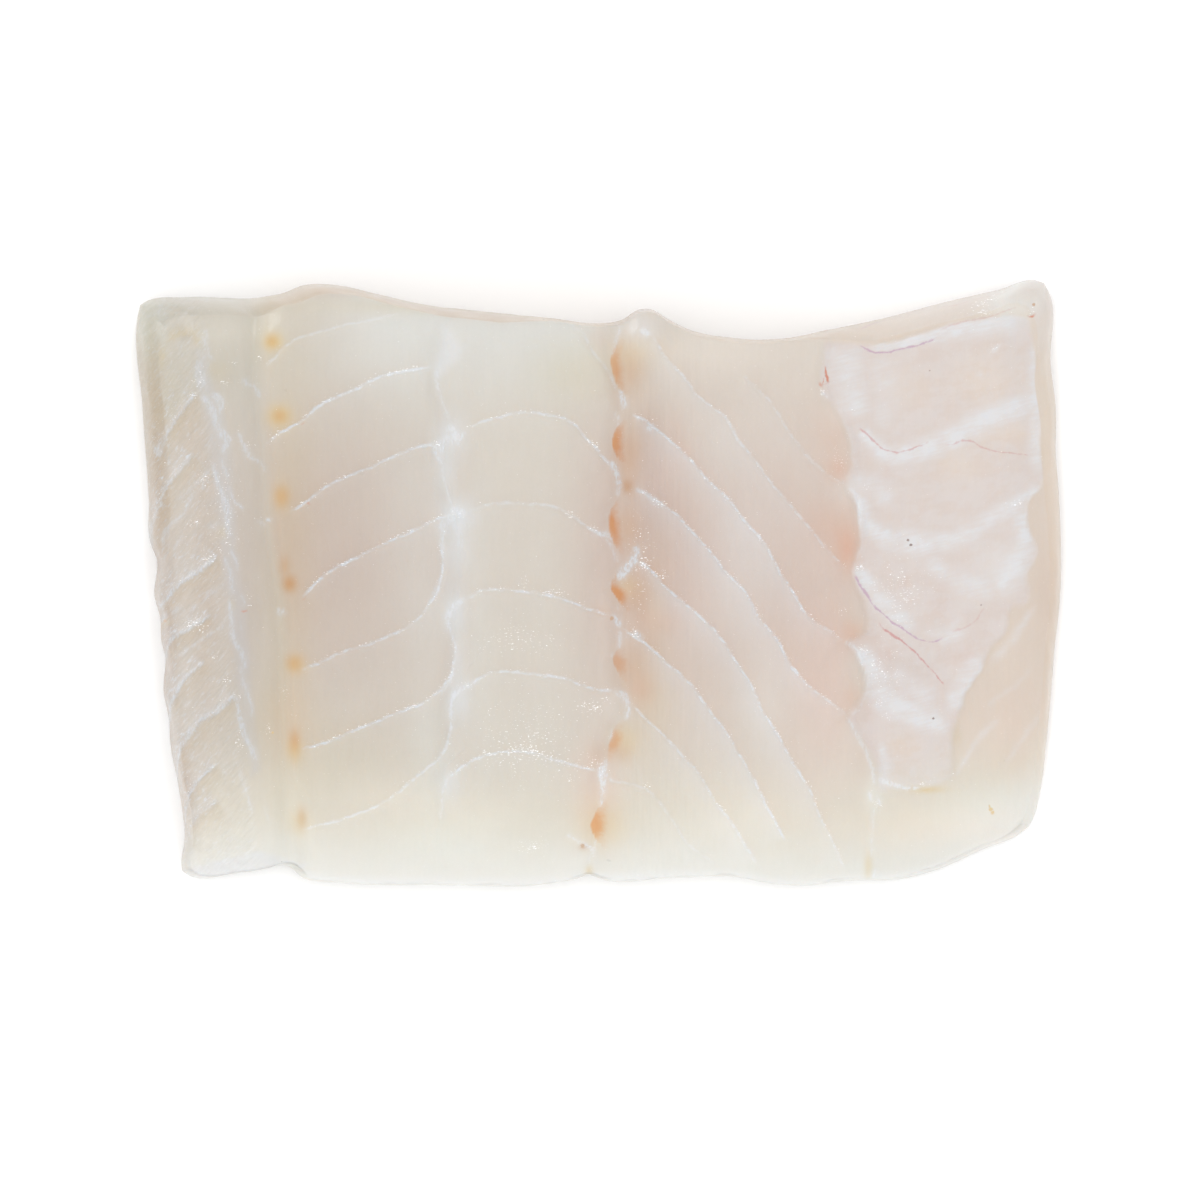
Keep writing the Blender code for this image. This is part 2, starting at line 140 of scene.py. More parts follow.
# Seams between the flakes, in pixels: how white the seam is, then its line from the left.
SEAMS = [
    (0.35, [(265, 368), (300, 341), (330, 331), (360, 323), (400, 316)]),
    (1.0, [(268, 444), (283, 433), (297, 427), (323, 406), (357, 390), (395, 375), (432, 368)]),
    (0.8, [(288, 513), (303, 504), (330, 486), (378, 466), (410, 451), (436, 446)]),
    (1.0, [(302, 598), (325, 577), (360, 556), (400, 538), (425, 527), (450, 514)]),
    (0.8, [(303, 670), (337, 655), (380, 640), (410, 625), (433, 602), (443, 572), (441, 540)]),
    (1.0, [(303, 749), (345, 735), (395, 713), (425, 701), (446, 684), (456, 655), (452, 632)]),
    (0.6, [(303, 830), (335, 820), (385, 801), (415, 778), (443, 753), (453, 722)]),
    (0.25, [(570, 325), (586, 338), (592, 352), (600, 362), (608, 374), (617, 394)]),
    (0.7, [(468, 428), (490, 421), (520, 414), (545, 415), (572, 424), (582, 436), (597, 449), (612, 468)]),
    (0.45, [(470, 511), (500, 503), (530, 504), (570, 514), (592, 530), (612, 540)]),
    (0.7, [(466, 598), (485, 591), (515, 590), (560, 598), (592, 610), (612, 615)]),
    (0.7, [(470, 684), (488, 675), (510, 672), (560, 677), (590, 687), (614, 690)]),
    (0.7, [(447, 779), (465, 765), (500, 752), (520, 751), (560, 760), (598, 770)]),
    (0.3, [(742, 375), (772, 407), (793, 440), (820, 470), (848, 488)]),
    (0.55, [(652, 338), (663, 356), (680, 375), (700, 400), (727, 422), (742, 447), (787, 503), (815, 537),
        (846, 572)]),
    (0.9, [(630, 414), (642, 419), (656, 430), (705, 478), (748, 525), (785, 582), (810, 618), (842, 641)]),
    (0.9, [(636, 489), (660, 503), (675, 515), (700, 543), (745, 595), (775, 642), (800, 677), (846, 716)]),
    (0.9, [(634, 561), (646, 567), (664, 587), (690, 608), (735, 660), (765, 715), (800, 775), (845, 870)]),
    (0.8, [(623, 627), (645, 645), (690, 685), (712, 714), (753, 780), (785, 840)]),
    (0.6, [(632, 703), (648, 720), (668, 741), (695, 770), (720, 808), (745, 845), (755, 865)]),
    (0.2, [(606, 778), (648, 790), (685, 840), (715, 865)]),
]

# White connective tissue, in pixels: whiteness, then a line whose points also give half its width.
TISSUE = [
    # beside the third valley, from the back
    (0.5, [(622, 323, 2), (618, 334, 2.5), (614, 349, 1.5), (611, 358, 1)]),
    (0.4, [(633, 326, 1), (634, 334, 2.5)]),
    (0.8, [(639, 328, 1.5), (644, 333, 3), (651, 338, 1.5)]),
    (0.9, [(617, 390, 1), (621, 397, 2.5), (624, 405, 2.5), (622, 411, 1)]),
    (0.5, [(615, 410, 2), (618, 419, 2), (618, 430, 1)]),
    (0.9, [(609, 459, 1.5), (613, 468, 3), (616, 478, 2.5), (619, 489, 2), (616, 499, 1)]),
    (0.9, [(645, 434, 2), (650, 429, 3), (655, 424, 2)]),
    (0.8, [(635, 417, 2), (641, 421, 2)]),
    (0.6, [(634, 492, 2), (640, 490, 2.5), (648, 495, 2.5), (658, 502, 2.5), (666, 507, 1.5)]),
    (0.5, [(604, 515, 2), (607, 519, 1.5)]),
    (0.8, [(592, 529, 1), (598, 534, 2), (604, 535, 3), (610, 535, 2), (612, 542, 1)]),
    (0.5, [(604, 537, 2), (611, 546, 1.5), (616, 557, 1.5), (618, 564, 1)]),
    (1.0, [(631, 545, 1.5), (636, 550, 3), (634, 557, 4.5), (627, 566, 4.5), (622, 575, 4), (618, 581, 2)]),
    (0.6, [(632, 562, 1), (639, 562, 2), (646, 567, 1.5)]),
    (0.5, [(610, 581, 1.5), (612, 589, 1)]),
    (0.4, [(616, 603, 1), (618, 612, 2)]),
    (1.0, [(609, 614, 1.2), (614, 617, 2.2), (619, 623, 2.5), (623, 628, 1)]),
    (0.7, [(621, 628, 1.5), (620, 640, 2), (619, 652, 1)]),
    (0.4, [(612, 652, 1.5), (612, 661, 1)]),
    (1.0, [(633, 629, 1.5), (637, 634, 2.5), (644, 641, 1.5)]),
    (0.8, [(612, 690, 2), (618, 692, 2.5), (624, 696, 3), (628, 703, 2.5), (629, 710, 2), (625, 720, 1.5)]),
    (0.5, [(614, 727, 1.5), (610, 737, 1.5), (609, 745, 1)]),
    (0.9, [(607, 757, 1), (605, 764, 2), (602, 771, 5), (602, 778, 3.5), (603, 784, 2), (602, 795, 1.5),
        (600, 808, 1)]),
    (0.6, [(606, 776, 2), (614, 781, 1)]),
    (0.8, [(566, 832, 1), (573, 837, 1), (580, 841, 1.2), (587, 845, 2), (592, 848, 3.5), (597, 846, 1.5)]),
    (0.7, [(597, 838, 1), (594, 845, 1.5)]),
    (0.3, [(590, 852, 1.5), (589, 868, 1)]),
    # between the first and the second row, from the back
    (0.6, [(436, 370, 2.5), (437, 382, 2), (442, 395, 1.5), (446, 408, 1.2), (450, 420, 2)]),
    (0.8, [(450, 422, 2), (453, 431, 4.5), (459, 438, 4), (466, 430, 2)]),
    (0.6, [(459, 438, 3), (458, 448, 1.5)]),
    (0.8, [(450, 434, 3.5), (444, 442, 3), (440, 449, 6), (440, 458, 3.5), (442, 466, 1.5)]),
    (0.7, [(428, 446, 1.5), (438, 446, 4)]),
    (0.6, [(443, 462, 1.5), (445, 480, 1.2), (449, 495, 1.2), (452, 506, 2)]),
    (0.8, [(452, 505, 2), (456, 511, 5), (464, 514, 4.5), (466, 517, 3)]),
    (0.6, [(456, 514, 5), (447, 522, 5), (444, 532, 4), (443, 545, 2.5), (442, 560, 1.5)]),
    (0.35, [(457, 520, 5), (460, 535, 4), (460, 550, 2)]),
    (0.5, [(442, 560, 1.5), (443, 573, 1.5), (436, 592, 2.5), (428, 606, 1.5)]),
    (0.95, [(467, 598, 1.5), (460, 602, 3), (453, 608, 3.5), (449, 616, 3), (449, 624, 2), (453, 637, 1)]),
    (0.5, [(454, 640, 1), (457, 655, 1), (454, 670, 1.2), (449, 684, 1.8), (440, 694, 2)]),
    (0.9, [(482, 680, 1.2), (472, 683, 2.2), (464, 688, 2.5), (456, 693, 3), (453, 702, 2.5),
        (453, 715, 1.5), (451, 732, 1)]),
    (0.6, [(470, 764, 1), (458, 771, 1.5), (447, 781, 2), (443, 795, 1.2), (441, 820, 1)]),
    # beside the first valley
    (0.6, [(243, 378, 1), (247, 384, 2), (252, 387, 2), (257, 389, 1.5), (260, 396, 2.5), (262, 401, 1)]),
    (0.7, [(237, 433, 1.5), (241, 434, 1.5), (243, 441, 1.5), (247, 450, 3), (249, 456, 2.5),
        (256, 460, 1.2), (263, 465, 1), (268, 475, 1)]),
    (0.5, [(207, 329, 2), (206, 345, 3), (211, 355, 2), (218, 362, 1)]),
    (0.6, [(200, 360, 2), (201, 370, 5), (203, 380, 6), (202, 390, 3)]),
    (0.85, [(203, 395, 3), (208, 402, 3), (213, 412, 3), (217, 424, 3), (222, 433, 3.5), (228, 438, 4.5),
        (230, 442, 3), (226, 449, 2.5), (224, 455, 2)]),
    (0.8, [(214, 392, 2.5), (219, 400, 4), (222, 405, 3.5), (220, 412, 1.5), (219, 418, 1)]),
    (0.6, [(224, 456, 1.5), (225, 464, 1.5), (228, 475, 2), (229, 483, 1)]),
    (0.8, [(215, 462, 1.5), (217, 472, 2.5), (220, 484, 2.5), (225, 497, 3), (228, 507, 4.5), (228, 518, 3),
        (229, 530, 2), (231, 539, 1.5)]),
    (0.7, [(229, 485, 1), (232, 495, 1.5), (236, 503, 1.5), (242, 506, 2), (247, 512, 1)]),
    (0.7, [(233, 548, 1.5), (236, 556, 2), (239, 562, 1.5), (239, 573, 1)]),
    (0.7, [(226, 556, 1.5), (230, 566, 1.5), (233, 576, 2), (233, 586, 1.5), (235, 595, 1)]),
    (0.6, [(241, 592, 1.5), (244, 598, 2), (246, 603, 1.5), (242, 608, 2.5)]),
    (0.8, [(231, 598, 1.5), (231, 612, 2), (234, 624, 2), (235, 634, 2), (240, 647, 2.5), (245, 658, 2.5),
        (246, 671, 1.5)]),
    (0.25, [(243, 622, 1), (245, 640, 1)]),
    (0.4, [(257, 519, 1.5), (264, 524, 2), (269, 529, 1)]),
    (1.0, [(265, 520, 1), (271, 520, 1.8), (276, 519, 1)]),
    (0.7, [(279, 606, 1.5), (283, 613, 3), (286, 606, 1)]),
    (0.85, [(236, 694, 3), (239, 705, 2), (242, 716, 2.5), (245, 728, 3), (250, 742, 2.5), (255, 754, 3.5),
        (256, 762, 2)]),
    (0.6, [(242, 665, 1.5), (245, 680, 1.5), (249, 693, 2), (252, 704, 1.5), (253, 717, 1)]),
    (0.5, [(240, 768, 1), (243, 775, 2), (247, 790, 1.2), (252, 803, 2), (256, 813, 1)]),
    (0.2, [(264, 802, 1), (270, 815, 1), (272, 826, 1)]),
    # at the ends of the last row of flakes
    (0.8, [(818, 391, 1.5), (824, 395, 1.5), (829, 400, 1)]),
    (0.25, [(836, 408, 1.5), (846, 428, 2), (852, 448, 1.5), (853, 465, 1.5)]),
    (0.5, [(845, 487, 2.5), (852, 492, 2), (858, 508, 2), (862, 528, 2)]),
    (0.2, [(862, 530, 1.5), (861, 545, 1.5), (856, 562, 1.5)]),
    (0.7, [(842, 641, 1.5), (850, 645, 2), (858, 652, 2), (862, 668, 1.5)]),
    (0.25, [(862, 668, 1), (865, 690, 1), (861, 704, 1.5), (850, 716, 2.5)]),
    (0.6, [(847, 717, 2), (856, 735, 2), (864, 750, 2.5), (870, 765, 2), (874, 785, 1.5)]),
    (0.8, [(867, 789, 1.2), (871, 803, 2)]),
    (0.8, [(876, 795, 2), (880, 806, 1.2)]),
    (0.8, [(876, 778, 2.5), (890, 782, 2.5), (905, 787, 2.2), (913, 788, 1.8), (919, 785, 1)]),
    (0.5, [(873, 806, 1), (872, 830, 0.8), (871, 858, 0.8)]),
    (0.7, [(874, 866, 1), (872, 882, 1)]),
]

# White rims of the thin flakes along the back of the fish, in pixels, as above, each from its lower end.
FRINGE_RIMS = [
    (0.7, [(157, 464, 3), (160, 455, 4), (163, 447, 3), (166, 437, 2), (170, 428, 2), (176, 421, 1.2),
        (184, 411, 1), (192, 401, 2), (199, 393, 2.5)]),
    (0.6, [(151, 556, 3), (152, 549, 4), (152, 540, 3), (155, 524, 1.5), (160, 505, 1), (170, 485, 1.5),
        (182, 469, 1.5), (196, 455, 1)]),
    (0.95, [(159, 607, 1.8), (166, 600, 1.8), (172, 594, 1.8), (179, 587, 2), (186, 580, 2.2),
        (194, 575, 2.5), (204, 568, 2.5), (212, 562, 2), (219, 556, 1)]),
    (0.8, [(162, 658, 2), (167, 649, 1.8), (172, 642, 2), (179, 636, 2), (187, 631, 1.8), (196, 625, 1.5),
        (205, 620, 1.4), (213, 615, 1.2)]),
    (0.9, [(163, 714, 4), (167, 708, 3), (174, 696, 2.6), (179, 687, 2.5), (184, 680, 2.2), (191, 673, 2),
        (199, 666, 1.6), (206, 659, 1)]),
    (0.9, [(175, 762, 3), (181, 750, 2.5), (186, 742, 2), (192, 734, 2), (198, 725, 2), (205, 718, 2.2),
        (214, 714, 2), (221, 710, 1.8), (229, 702, 1.8), (237, 694, 2.5)]),
    (0.8, [(184, 810, 1.4), (188, 799, 1.5), (193, 789, 1.5), (199, 780, 1.8), (206, 774, 1.5),
        (213, 768, 1.6), (220, 762, 1)]),
    (0.3, [(182, 845, 1), (190, 830, 1.5), (205, 812, 1.5), (220, 800, 1)]),
]
# Shorter white threads of the fringe, in pixels, as above.
FRINGE_EDGES = [
    (0.4, [(176, 500, 1), (190, 492, 1.8), (203, 478, 2.5), (213, 470, 2)]),
    (0.65, [(163, 548, 1.5), (167, 537, 1.8), (170, 528, 1.8), (176, 521, 2.2), (183, 515, 2),
        (190, 503, 1.5), (198, 490, 1.5)]),
    (0.5, [(173, 552, 1.2), (179, 543, 1.3), (186, 535, 1)]),
    (0.4, [(208, 531, 2), (214, 526, 3), (222, 523, 2)]),
    (0.7, [(158, 612, 2.5), (163, 615, 3), (168, 611, 1.5)]),
    (0.6, [(171, 616, 2), (177, 611, 2.4), (183, 605, 1.5)]),
    (0.5, [(205, 600, 1.2), (212, 594, 1.8), (220, 589, 2), (228, 583, 1.5)]),
    (0.5, [(176, 659, 1), (190, 647, 1.5), (205, 637, 1.5), (218, 630, 1.8), (231, 625, 2)]),
    (0.6, [(185, 708, 1.5), (188, 704, 2), (193, 700, 1)]),
    (0.6, [(192, 762, 1.6), (196, 753, 1)]),
    (0.4, [(182, 778, 2), (184, 770, 1)]),
    (0.35, [(194, 816, 1), (198, 803, 1)]),
]

# The thin lining of the belly, in pixels.
LINING_LEFT = [
    (826, 343), (821, 368), (823, 392), (840, 417), (850, 440), (853, 462), (846, 486), (856, 507),
    (861, 535), (853, 576), (864, 603), (868, 628), (848, 644), (860, 662), (865, 690), (848, 717),
    (864, 742), (877, 770), (872, 808),
]
LINING_BOTTOM = [(872, 808), (883, 791), (905, 788), (925, 787), (951, 777)]
LINING_RIGHT = [
    (951, 777), (950, 748), (957, 716), (965, 690), (978, 671), (990, 648), (1005, 631), (1012, 607),
    (1025, 601), (1027, 575), (1036, 556), (1026, 527), (1026, 505), (1041, 485), (1038, 440), (1044, 404),
    (1035, 360), (1027, 318),
]
LINING_TOP = [(1027, 318), (995, 318), (960, 324), (930, 333), (900, 342), (862, 345), (826, 343)]

# Wide white veils of the lining, in pixels: strength, then a line whose points also give half its width.
VEILS = [
    (0.85, [(868, 349, 4), (900, 344, 5), (930, 336, 7), (960, 330, 9), (990, 325, 11), (1018, 322, 12)]),
    (0.52, [(842, 346, 20), (844, 372, 22), (852, 396, 19), (862, 420, 12)]),
    (0.35, [(884, 356, 22), (886, 390, 20), (878, 428, 12)]),
    (0.85, [(860, 430, 5), (872, 443, 7), (885, 455, 9), (900, 457, 9), (918, 452, 9), (938, 444, 10),
        (958, 434, 10), (978, 424, 11), (1000, 413, 11), (1025, 405, 11), (1040, 400, 9)]),
    (0.55, [(854, 474, 8), (862, 487, 10), (874, 486, 12), (890, 505, 12)]),
    (0.72, [(852, 494, 7), (860, 510, 9), (868, 525, 10), (882, 538, 11), (902, 541, 12), (925, 544, 11),
        (950, 541, 9), (980, 525, 8), (1005, 510, 8), (1030, 496, 9), (1040, 484, 6)]),
    (0.7, [(1030, 500, 8), (1022, 525, 10), (1022, 550, 12), (1010, 575, 14), (992, 590, 12)]),
    (0.72, [(856, 568, 8), (865, 582, 9), (877, 597, 9), (890, 611, 10), (903, 622, 9), (914, 628, 6)]),
    (0.4, [(922, 632, 4), (945, 629, 6), (962, 616, 4)]),
    (0.55, [(925, 558, 8), (945, 574, 10), (970, 586, 12), (996, 590, 12)]),
    (0.75, [(860, 645, 7), (868, 660, 10), (874, 680, 12), (886, 698, 14), (902, 710, 13), (918, 716, 13),
        (935, 722, 12), (946, 734, 8)]),
    (0.45, [(890, 672, 12), (915, 690, 14), (938, 702, 12)]),
    (0.8, [(982, 660, 9), (970, 677, 12), (960, 694, 10), (950, 708, 8)]),
    (0.5, [(935, 641, 5), (950, 637, 7), (966, 630, 5)]),
    (0.55, [(880, 742, 5), (884, 763, 6), (879, 785, 5)]),
    (0.6, [(1034, 345, 8), (1036, 400, 8), (1036, 470, 8)]),
    (0.5, [(907, 766, 5), (914, 771, 5)]),
    (0.6, [(988, 354, 2), (1000, 345, 2)]),
    (0.5, [(974, 370, 5), (982, 380, 4)]),
]
# Fainter ones on the flesh of the flap beside it, as above.
FLAP_VEILS = [
    (0.35, [(993, 660, 3), (1005, 648, 3), (1015, 635, 3), (1023, 621, 2.5), (1032, 606, 2)]),
    (0.35, [(955, 775, 2), (965, 758, 2), (975, 742, 2), (985, 730, 2.5), (997, 718, 2)]),
    (0.2, [(1005, 765, 2), (1022, 738, 2), (1040, 712, 2)]),
    (0.2, [(985, 705, 2), (1008, 690, 2), (1030, 668, 2)]),
]

# Panes of thin tissue, in pixels: tone, strength, softness of the edge in millimetres, outline.
PATCH_WHITE, FILM_WHITE = (228, 228, 229), (231, 231, 230)
PALE_FLAKE, CUP_TONE, FRINGE_HAZE = (206, 200, 189), (221, 212, 203), (206, 204, 205)
PANES = [
    (PATCH_WHITE, 0.6, 0.9, [(444, 328), (453, 332), (463, 350), (458, 362), (446, 372), (438, 380),
        (433, 370), (439, 352)]),
    (PALE_FLAKE, 0.75, 0.5, [(168, 350), (175, 340), (190, 337), (202, 350), (206, 380), (200, 393),
        (186, 404), (168, 419), (164, 400), (166, 370)]),
    (FILM_WHITE, 0.85, 0.4, [(176, 879), (181, 871), (200, 865), (225, 858), (262, 852), (310, 864),
        (290, 872), (262, 872), (240, 880), (210, 880)]),
    (FRINGE_HAZE, 0.4, 0.7, [(197, 350), (208, 352), (220, 400), (232, 450), (236, 520), (242, 580),
        (250, 640), (254, 700), (262, 770), (254, 776), (244, 720), (236, 650), (228, 590), (220, 520),
        (212, 450), (202, 400)]),
    (CUP_TONE, 0.6, 0.5, [(610, 690), (622, 694), (629, 706), (625, 719), (616, 725), (606, 716),
        (603, 702)]),
]

# Orange-brown spots with a sharp left edge, in pixels: reach to the right, strength, then the left edge.
EDGED_SPOTS = [
    (10, 0.75, [(617, 344), (613, 353), (611, 363), (613, 374), (616, 384), (621, 393)]),
    (9, 0.95, [(620, 424), (616, 432), (614, 443), (615, 452), (619, 461)]),
    (10, 1.0, [(613, 507), (610, 516), (610, 525), (612, 536), (616, 548)]),
    (11, 1.0, [(614, 580), (612, 587), (614, 594), (618, 601), (622, 607)]),
    (11, 0.6, [(618, 651), (615, 659), (617, 667), (621, 677)]),
    (11, 0.65, [(616, 726), (612, 735), (610, 744), (608, 756)]),
    (13, 0.9, [(599, 807), (595, 814), (592, 824), (594, 833), (598, 841)]),
]
SPOT_TONE, HALO_TONE, YELLOW_TONE, OCHRE_TONE, BROWN_TONE = (
    (200, 142, 92), (208, 173, 145), (226, 200, 150), (213, 196, 160), (196, 152, 116))
SPOT_STAIN = (0.99, 0.61, 0.33)  # shares of red, green and blue left under a spot
SPOT_LEFT = 0.25  # millimetres that a spot reaches to the left of its edge

# Soft tints, in pixels: tone, then x, y, half-widths along x and y, and strength of each. The later ones lie
# over the earlier ones.
LOBE_TONE, SEPTUM_HAZE = (222, 184, 164), (224, 225, 226)
FLAP_OCHRE, BLUSH = (230, 214, 200), (220, 198, 188)
TINTS = [
    (OCHRE_TONE, [(186, 334, 12, 6, 0.45), (175, 341, 6, 6, 0.4), (197, 344, 5, 7, 0.35),
        (163, 418, 4, 9, 0.6), (165, 358, 6, 10, 0.4), (218, 372, 14, 10, 0.2), (225, 532, 5, 6, 0.5),
        (234, 604, 4, 6, 0.4), (166, 621, 6, 3, 0.7), (955, 735, 6, 10, 0.25)]),
    (LOBE_TONE, [(846, 548, 12, 22, 0.9), (826, 528, 22, 26, 0.35), (852, 632, 12, 14, 0.6),
        (838, 470, 12, 12, 0.55), (828, 430, 20, 34, 0.2), (854, 698, 12, 18, 0.4), (676, 424, 8, 16, 0.12),
        (683, 455, 8, 20, 0.12), (700, 600, 14, 18, 0.1), (836, 440, 12, 30, 0.12)]),
    (SEPTUM_HAZE, [(452, 436, 16, 22, 0.7), (446, 472, 12, 26, 0.5), (458, 516, 18, 18, 0.8),
        (458, 550, 14, 30, 0.6), (456, 612, 12, 24, 0.7), (458, 655, 8, 24, 0.4), (460, 698, 12, 24, 0.7),
        (450, 782, 12, 20, 0.5)]),
    (BLUSH, [(886, 466, 5, 12, 0.4), (938, 605, 14, 20, 0.25), (880, 655, 14, 6, 0.5),
        (915, 696, 20, 6, 0.4), (960, 655, 16, 10, 0.4), (904, 578, 4, 16, 0.3), (872, 545, 6, 26, 0.4),
        (875, 636, 10, 12, 0.3)]),
    (YELLOW_TONE, [(275, 343, 9, 8, 0.75), (281, 417, 12, 11, 0.7), (624, 740, 14, 16, 0.35),
        (602, 825, 22, 22, 0.4), (589, 872, 4, 7, 0.6), (925, 789, 18, 3, 0.6), (868, 866, 4, 14, 0.4)]),
    (SPOT_TONE, [(273, 343, 6, 6, 0.25), (281, 417, 8, 7, 0.27), (283, 497, 7, 10, 0.45),
        (286, 566, 6, 10, 0.25), (291, 584, 7, 8, 0.55), (296, 663, 8, 8, 0.45), (296, 742, 6, 13, 0.4),
        (303, 818, 5, 10, 0.35)]),
    (HALO_TONE, [(630, 372, 16, 28, 0.5), (629, 455, 13, 32, 0.6), (634, 594, 16, 22, 0.45),
        (630, 665, 16, 26, 0.4), (622, 752, 10, 10, 0.3), (598, 752, 12, 12, 0.2), (603, 612, 10, 5, 0.2)]),
    (YELLOW_TONE, [(283, 497, 9, 13, 0.3), (297, 664, 10, 10, 0.35), (296, 750, 8, 12, 0.3),
        (300, 822, 12, 14, 0.3), (634, 350, 26, 18, 0.25)]),
    (FLAP_OCHRE, [(905, 388, 22, 22, 0.5), (985, 378, 34, 28, 0.7), (1008, 434, 30, 11, 0.7),
        (958, 465, 24, 18, 0.6), (900, 745, 20, 14, 0.6)]),
    (LOBE_TONE, [(640, 690, 14, 16, 0.35), (846, 520, 12, 34, 0.1), (840, 616, 18, 20, 0.12)]),
    (BROWN_TONE, [(627, 487, 6, 7, 0.6), (584, 846, 5, 3, 0.4)]),
    (BLUSH, [(871, 705, 6, 26, 0.4), (600, 340, 12, 14, 0.25)]),
    (HALO_TONE, [(627, 528, 14, 22, 0.5)]),
    (YELLOW_TONE, [(626, 586, 12, 12, 0.25)]),
    (LOBE_TONE, [(660, 620, 22, 14, 0.25)]),
    (BLUSH, [(660, 470, 24, 30, 0.3)]),
]

# Wide shifts of the tone, added on top, in pixels: shift, then the places as above. Some of them are painted
# light
# and shade: they lighten places that the relief shades and darken cut faces that face the lamps.
CLEARER, WARMER, DULLER, ROSIER = (6, 12, 15), (0, -2, -10), (-10, -11, -10), (4, -5, -6)
BRIGHTER, SUNNIER = (10, 10, 10), (8, 4, 2)
CASTS = [
    (CLEARER, [(1010, 306, 44, 10, 0.9), (480, 620, 14, 130, 0.4), (450, 840, 60, 22, 0.45),
        (1040, 400, 10, 60, 0.4), (715, 450, 26, 30, 0.3), (745, 620, 24, 50, 0.4), (738, 550, 40, 66, 1.1),
        (700, 612, 26, 36, 0.5), (738, 450, 50, 50, 0.3), (418, 530, 40, 120, 0.75),
        (430, 620, 22, 40, 0.45), (148, 322, 16, 40, 1.0), (640, 338, 16, 22, 0.5), (872, 795, 14, 22, 0.8),
        (960, 800, 90, 26, 0.4), (156, 500, 13, 64, -0.9), (168, 650, 14, 80, -0.7),
        (182, 785, 13, 46, -1.2), (205, 630, 16, 190, -0.4), (143, 350, 10, 34, 0.8),
        (190, 430, 14, 30, -0.4), (325, 290, 44, 8, -0.9), (425, 305, 60, 9, -0.7), (505, 318, 36, 7, -0.7),
        (430, 740, 22, 64, 0.65), (765, 700, 24, 44, 0.6), (618, 380, 8, 40, -0.5), (617, 460, 8, 26, -0.6),
        (645, 640, 14, 90, -0.45), (862, 780, 12, 50, -0.4), (650, 425, 12, 24, -0.5),
        (655, 615, 12, 18, 0.5), (995, 560, 24, 20, 0.6), (1012, 318, 22, 14, 0.8), (845, 490, 12, 18, 0.8),
        (838, 412, 14, 18, 0.6), (1048, 590, 14, 54, -0.5)]),
    (DULLER, [(250, 600, 20, 170, 0.45), (172, 400, 14, 46, 0.4), (166, 690, 10, 120, 1.0),
        (184, 830, 12, 40, 0.8), (900, 672, 36, 26, 0.4), (650, 465, 20, 80, 0.7), (184, 818, 12, 40, 1.0),
        (575, 372, 40, 30, 0.3), (180, 795, 9, 40, 0.7), (154, 562, 9, 16, 0.9), (240, 660, 12, 60, 0.3),
        (186, 334, 12, 8, 0.9)]),
    (BRIGHTER, [(225, 332, 44, 22, 0.9), (604, 610, 8, 90, 0.5), (320, 800, 50, 20, -0.2),
        (390, 800, 70, 26, 0.6), (740, 815, 70, 32, 0.7), (720, 350, 56, 24, 0.7), (480, 815, 60, 20, 0.5),
        (1052, 500, 10, 90, 0.4)]),
    (ROSIER, [(290, 722, 24, 44, 0.6), (1020, 745, 34, 50, 0.5), (596, 790, 24, 46, 1.1),
        (825, 690, 38, 90, 0.8), (858, 690, 14, 44, -0.7), (852, 620, 14, 20, -0.6)]),
    (SUNNIER, [(950, 826, 96, 24, 1.0)]),
    (WARMER, [(172, 400, 14, 46, 0.5), (655, 600, 14, 60, 0.5), (268, 340, 12, 30, 0.7),
        (440, 308, 120, 8, 0.8), (290, 560, 26, 220, 0.9), (280, 715, 34, 40, 0.6), (336, 755, 60, 40, 0.5),
        (575, 372, 42, 30, 0.9), (650, 708, 24, 54, 0.7), (640, 335, 20, 20, -0.8)]),
]

# Fine vessels in the lining and streaks of blood, in pixels: strength, then a line with half its width.
VIOLET_VESSELS = [
    (0.75, [(858, 346, 0.6), (864, 350, 0.9), (872, 353, 1.2), (884, 353, 1), (900, 350, 0.7),
        (920, 346, 0.8), (936, 339, 0.6)]),
    (0.75, [(854, 576, 1.1), (859, 586, 0.9), (864, 593, 1), (870, 602, 0.8), (880, 612, 0.7),
        (895, 625, 0.8), (908, 634, 0.8), (922, 640, 0.7), (935, 640, 0.6), (943, 636, 0.5)]),
]
RED_VESSELS = [
    (0.6, [(858, 428, 0.7), (864, 434, 0.9), (872, 441, 1.1), (882, 450, 0.7), (898, 453, 0.6),
        (912, 450, 0.5), (928, 443, 0.4)]),
    (0.5, [(943, 445, 0.4), (955, 442, 0.6), (968, 440, 0.6), (980, 446, 0.6), (995, 451, 0.5),
        (1015, 455, 0.4), (1030, 457, 0.3)]),
    (0.8, [(879, 621, 0.6), (885, 630, 0.8), (891, 635, 1.2), (902, 643, 0.7), (918, 656, 0.7),
        (928, 667, 0.6), (937, 677, 0.6), (944, 686, 0.4)]),
    (0.3, [(950, 632, 0.6), (969, 624, 0.6), (984, 608, 0.4)]),
    (0.3, [(940, 331, 0.6), (965, 322, 0.7), (990, 316, 0.6), (1018, 308, 0.5)]),
]
BLOOD = [
    (0.9, [(824, 366, 0.8), (826, 373, 1.1), (827, 378, 1.8), (828, 384, 0.8)]),
    (0.6, [(817, 381, 0.8), (821, 386, 1.4), (823, 388, 0.8)]),
    (0.7, [(271, 311, 0.8), (276, 307, 1.3), (281, 303, 0.8)]),
    (0.8, [(1026, 315, 0.8), (1031, 317, 1.2), (1036, 315, 0.7)]),
    (0.8, [(306, 502, 0.8), (309, 504, 1.4), (311, 505, 0.8)]),
    (0.7, [(241, 611, 0.8), (245, 611, 1.4), (249, 610, 0.8)]),
    (0.5, [(301, 428, 0.8), (304, 426, 1.1), (306, 424, 0.8)]),
    (0.7, [(302, 600, 0.6), (305, 599, 1.1), (307, 597, 0.6)]),
]

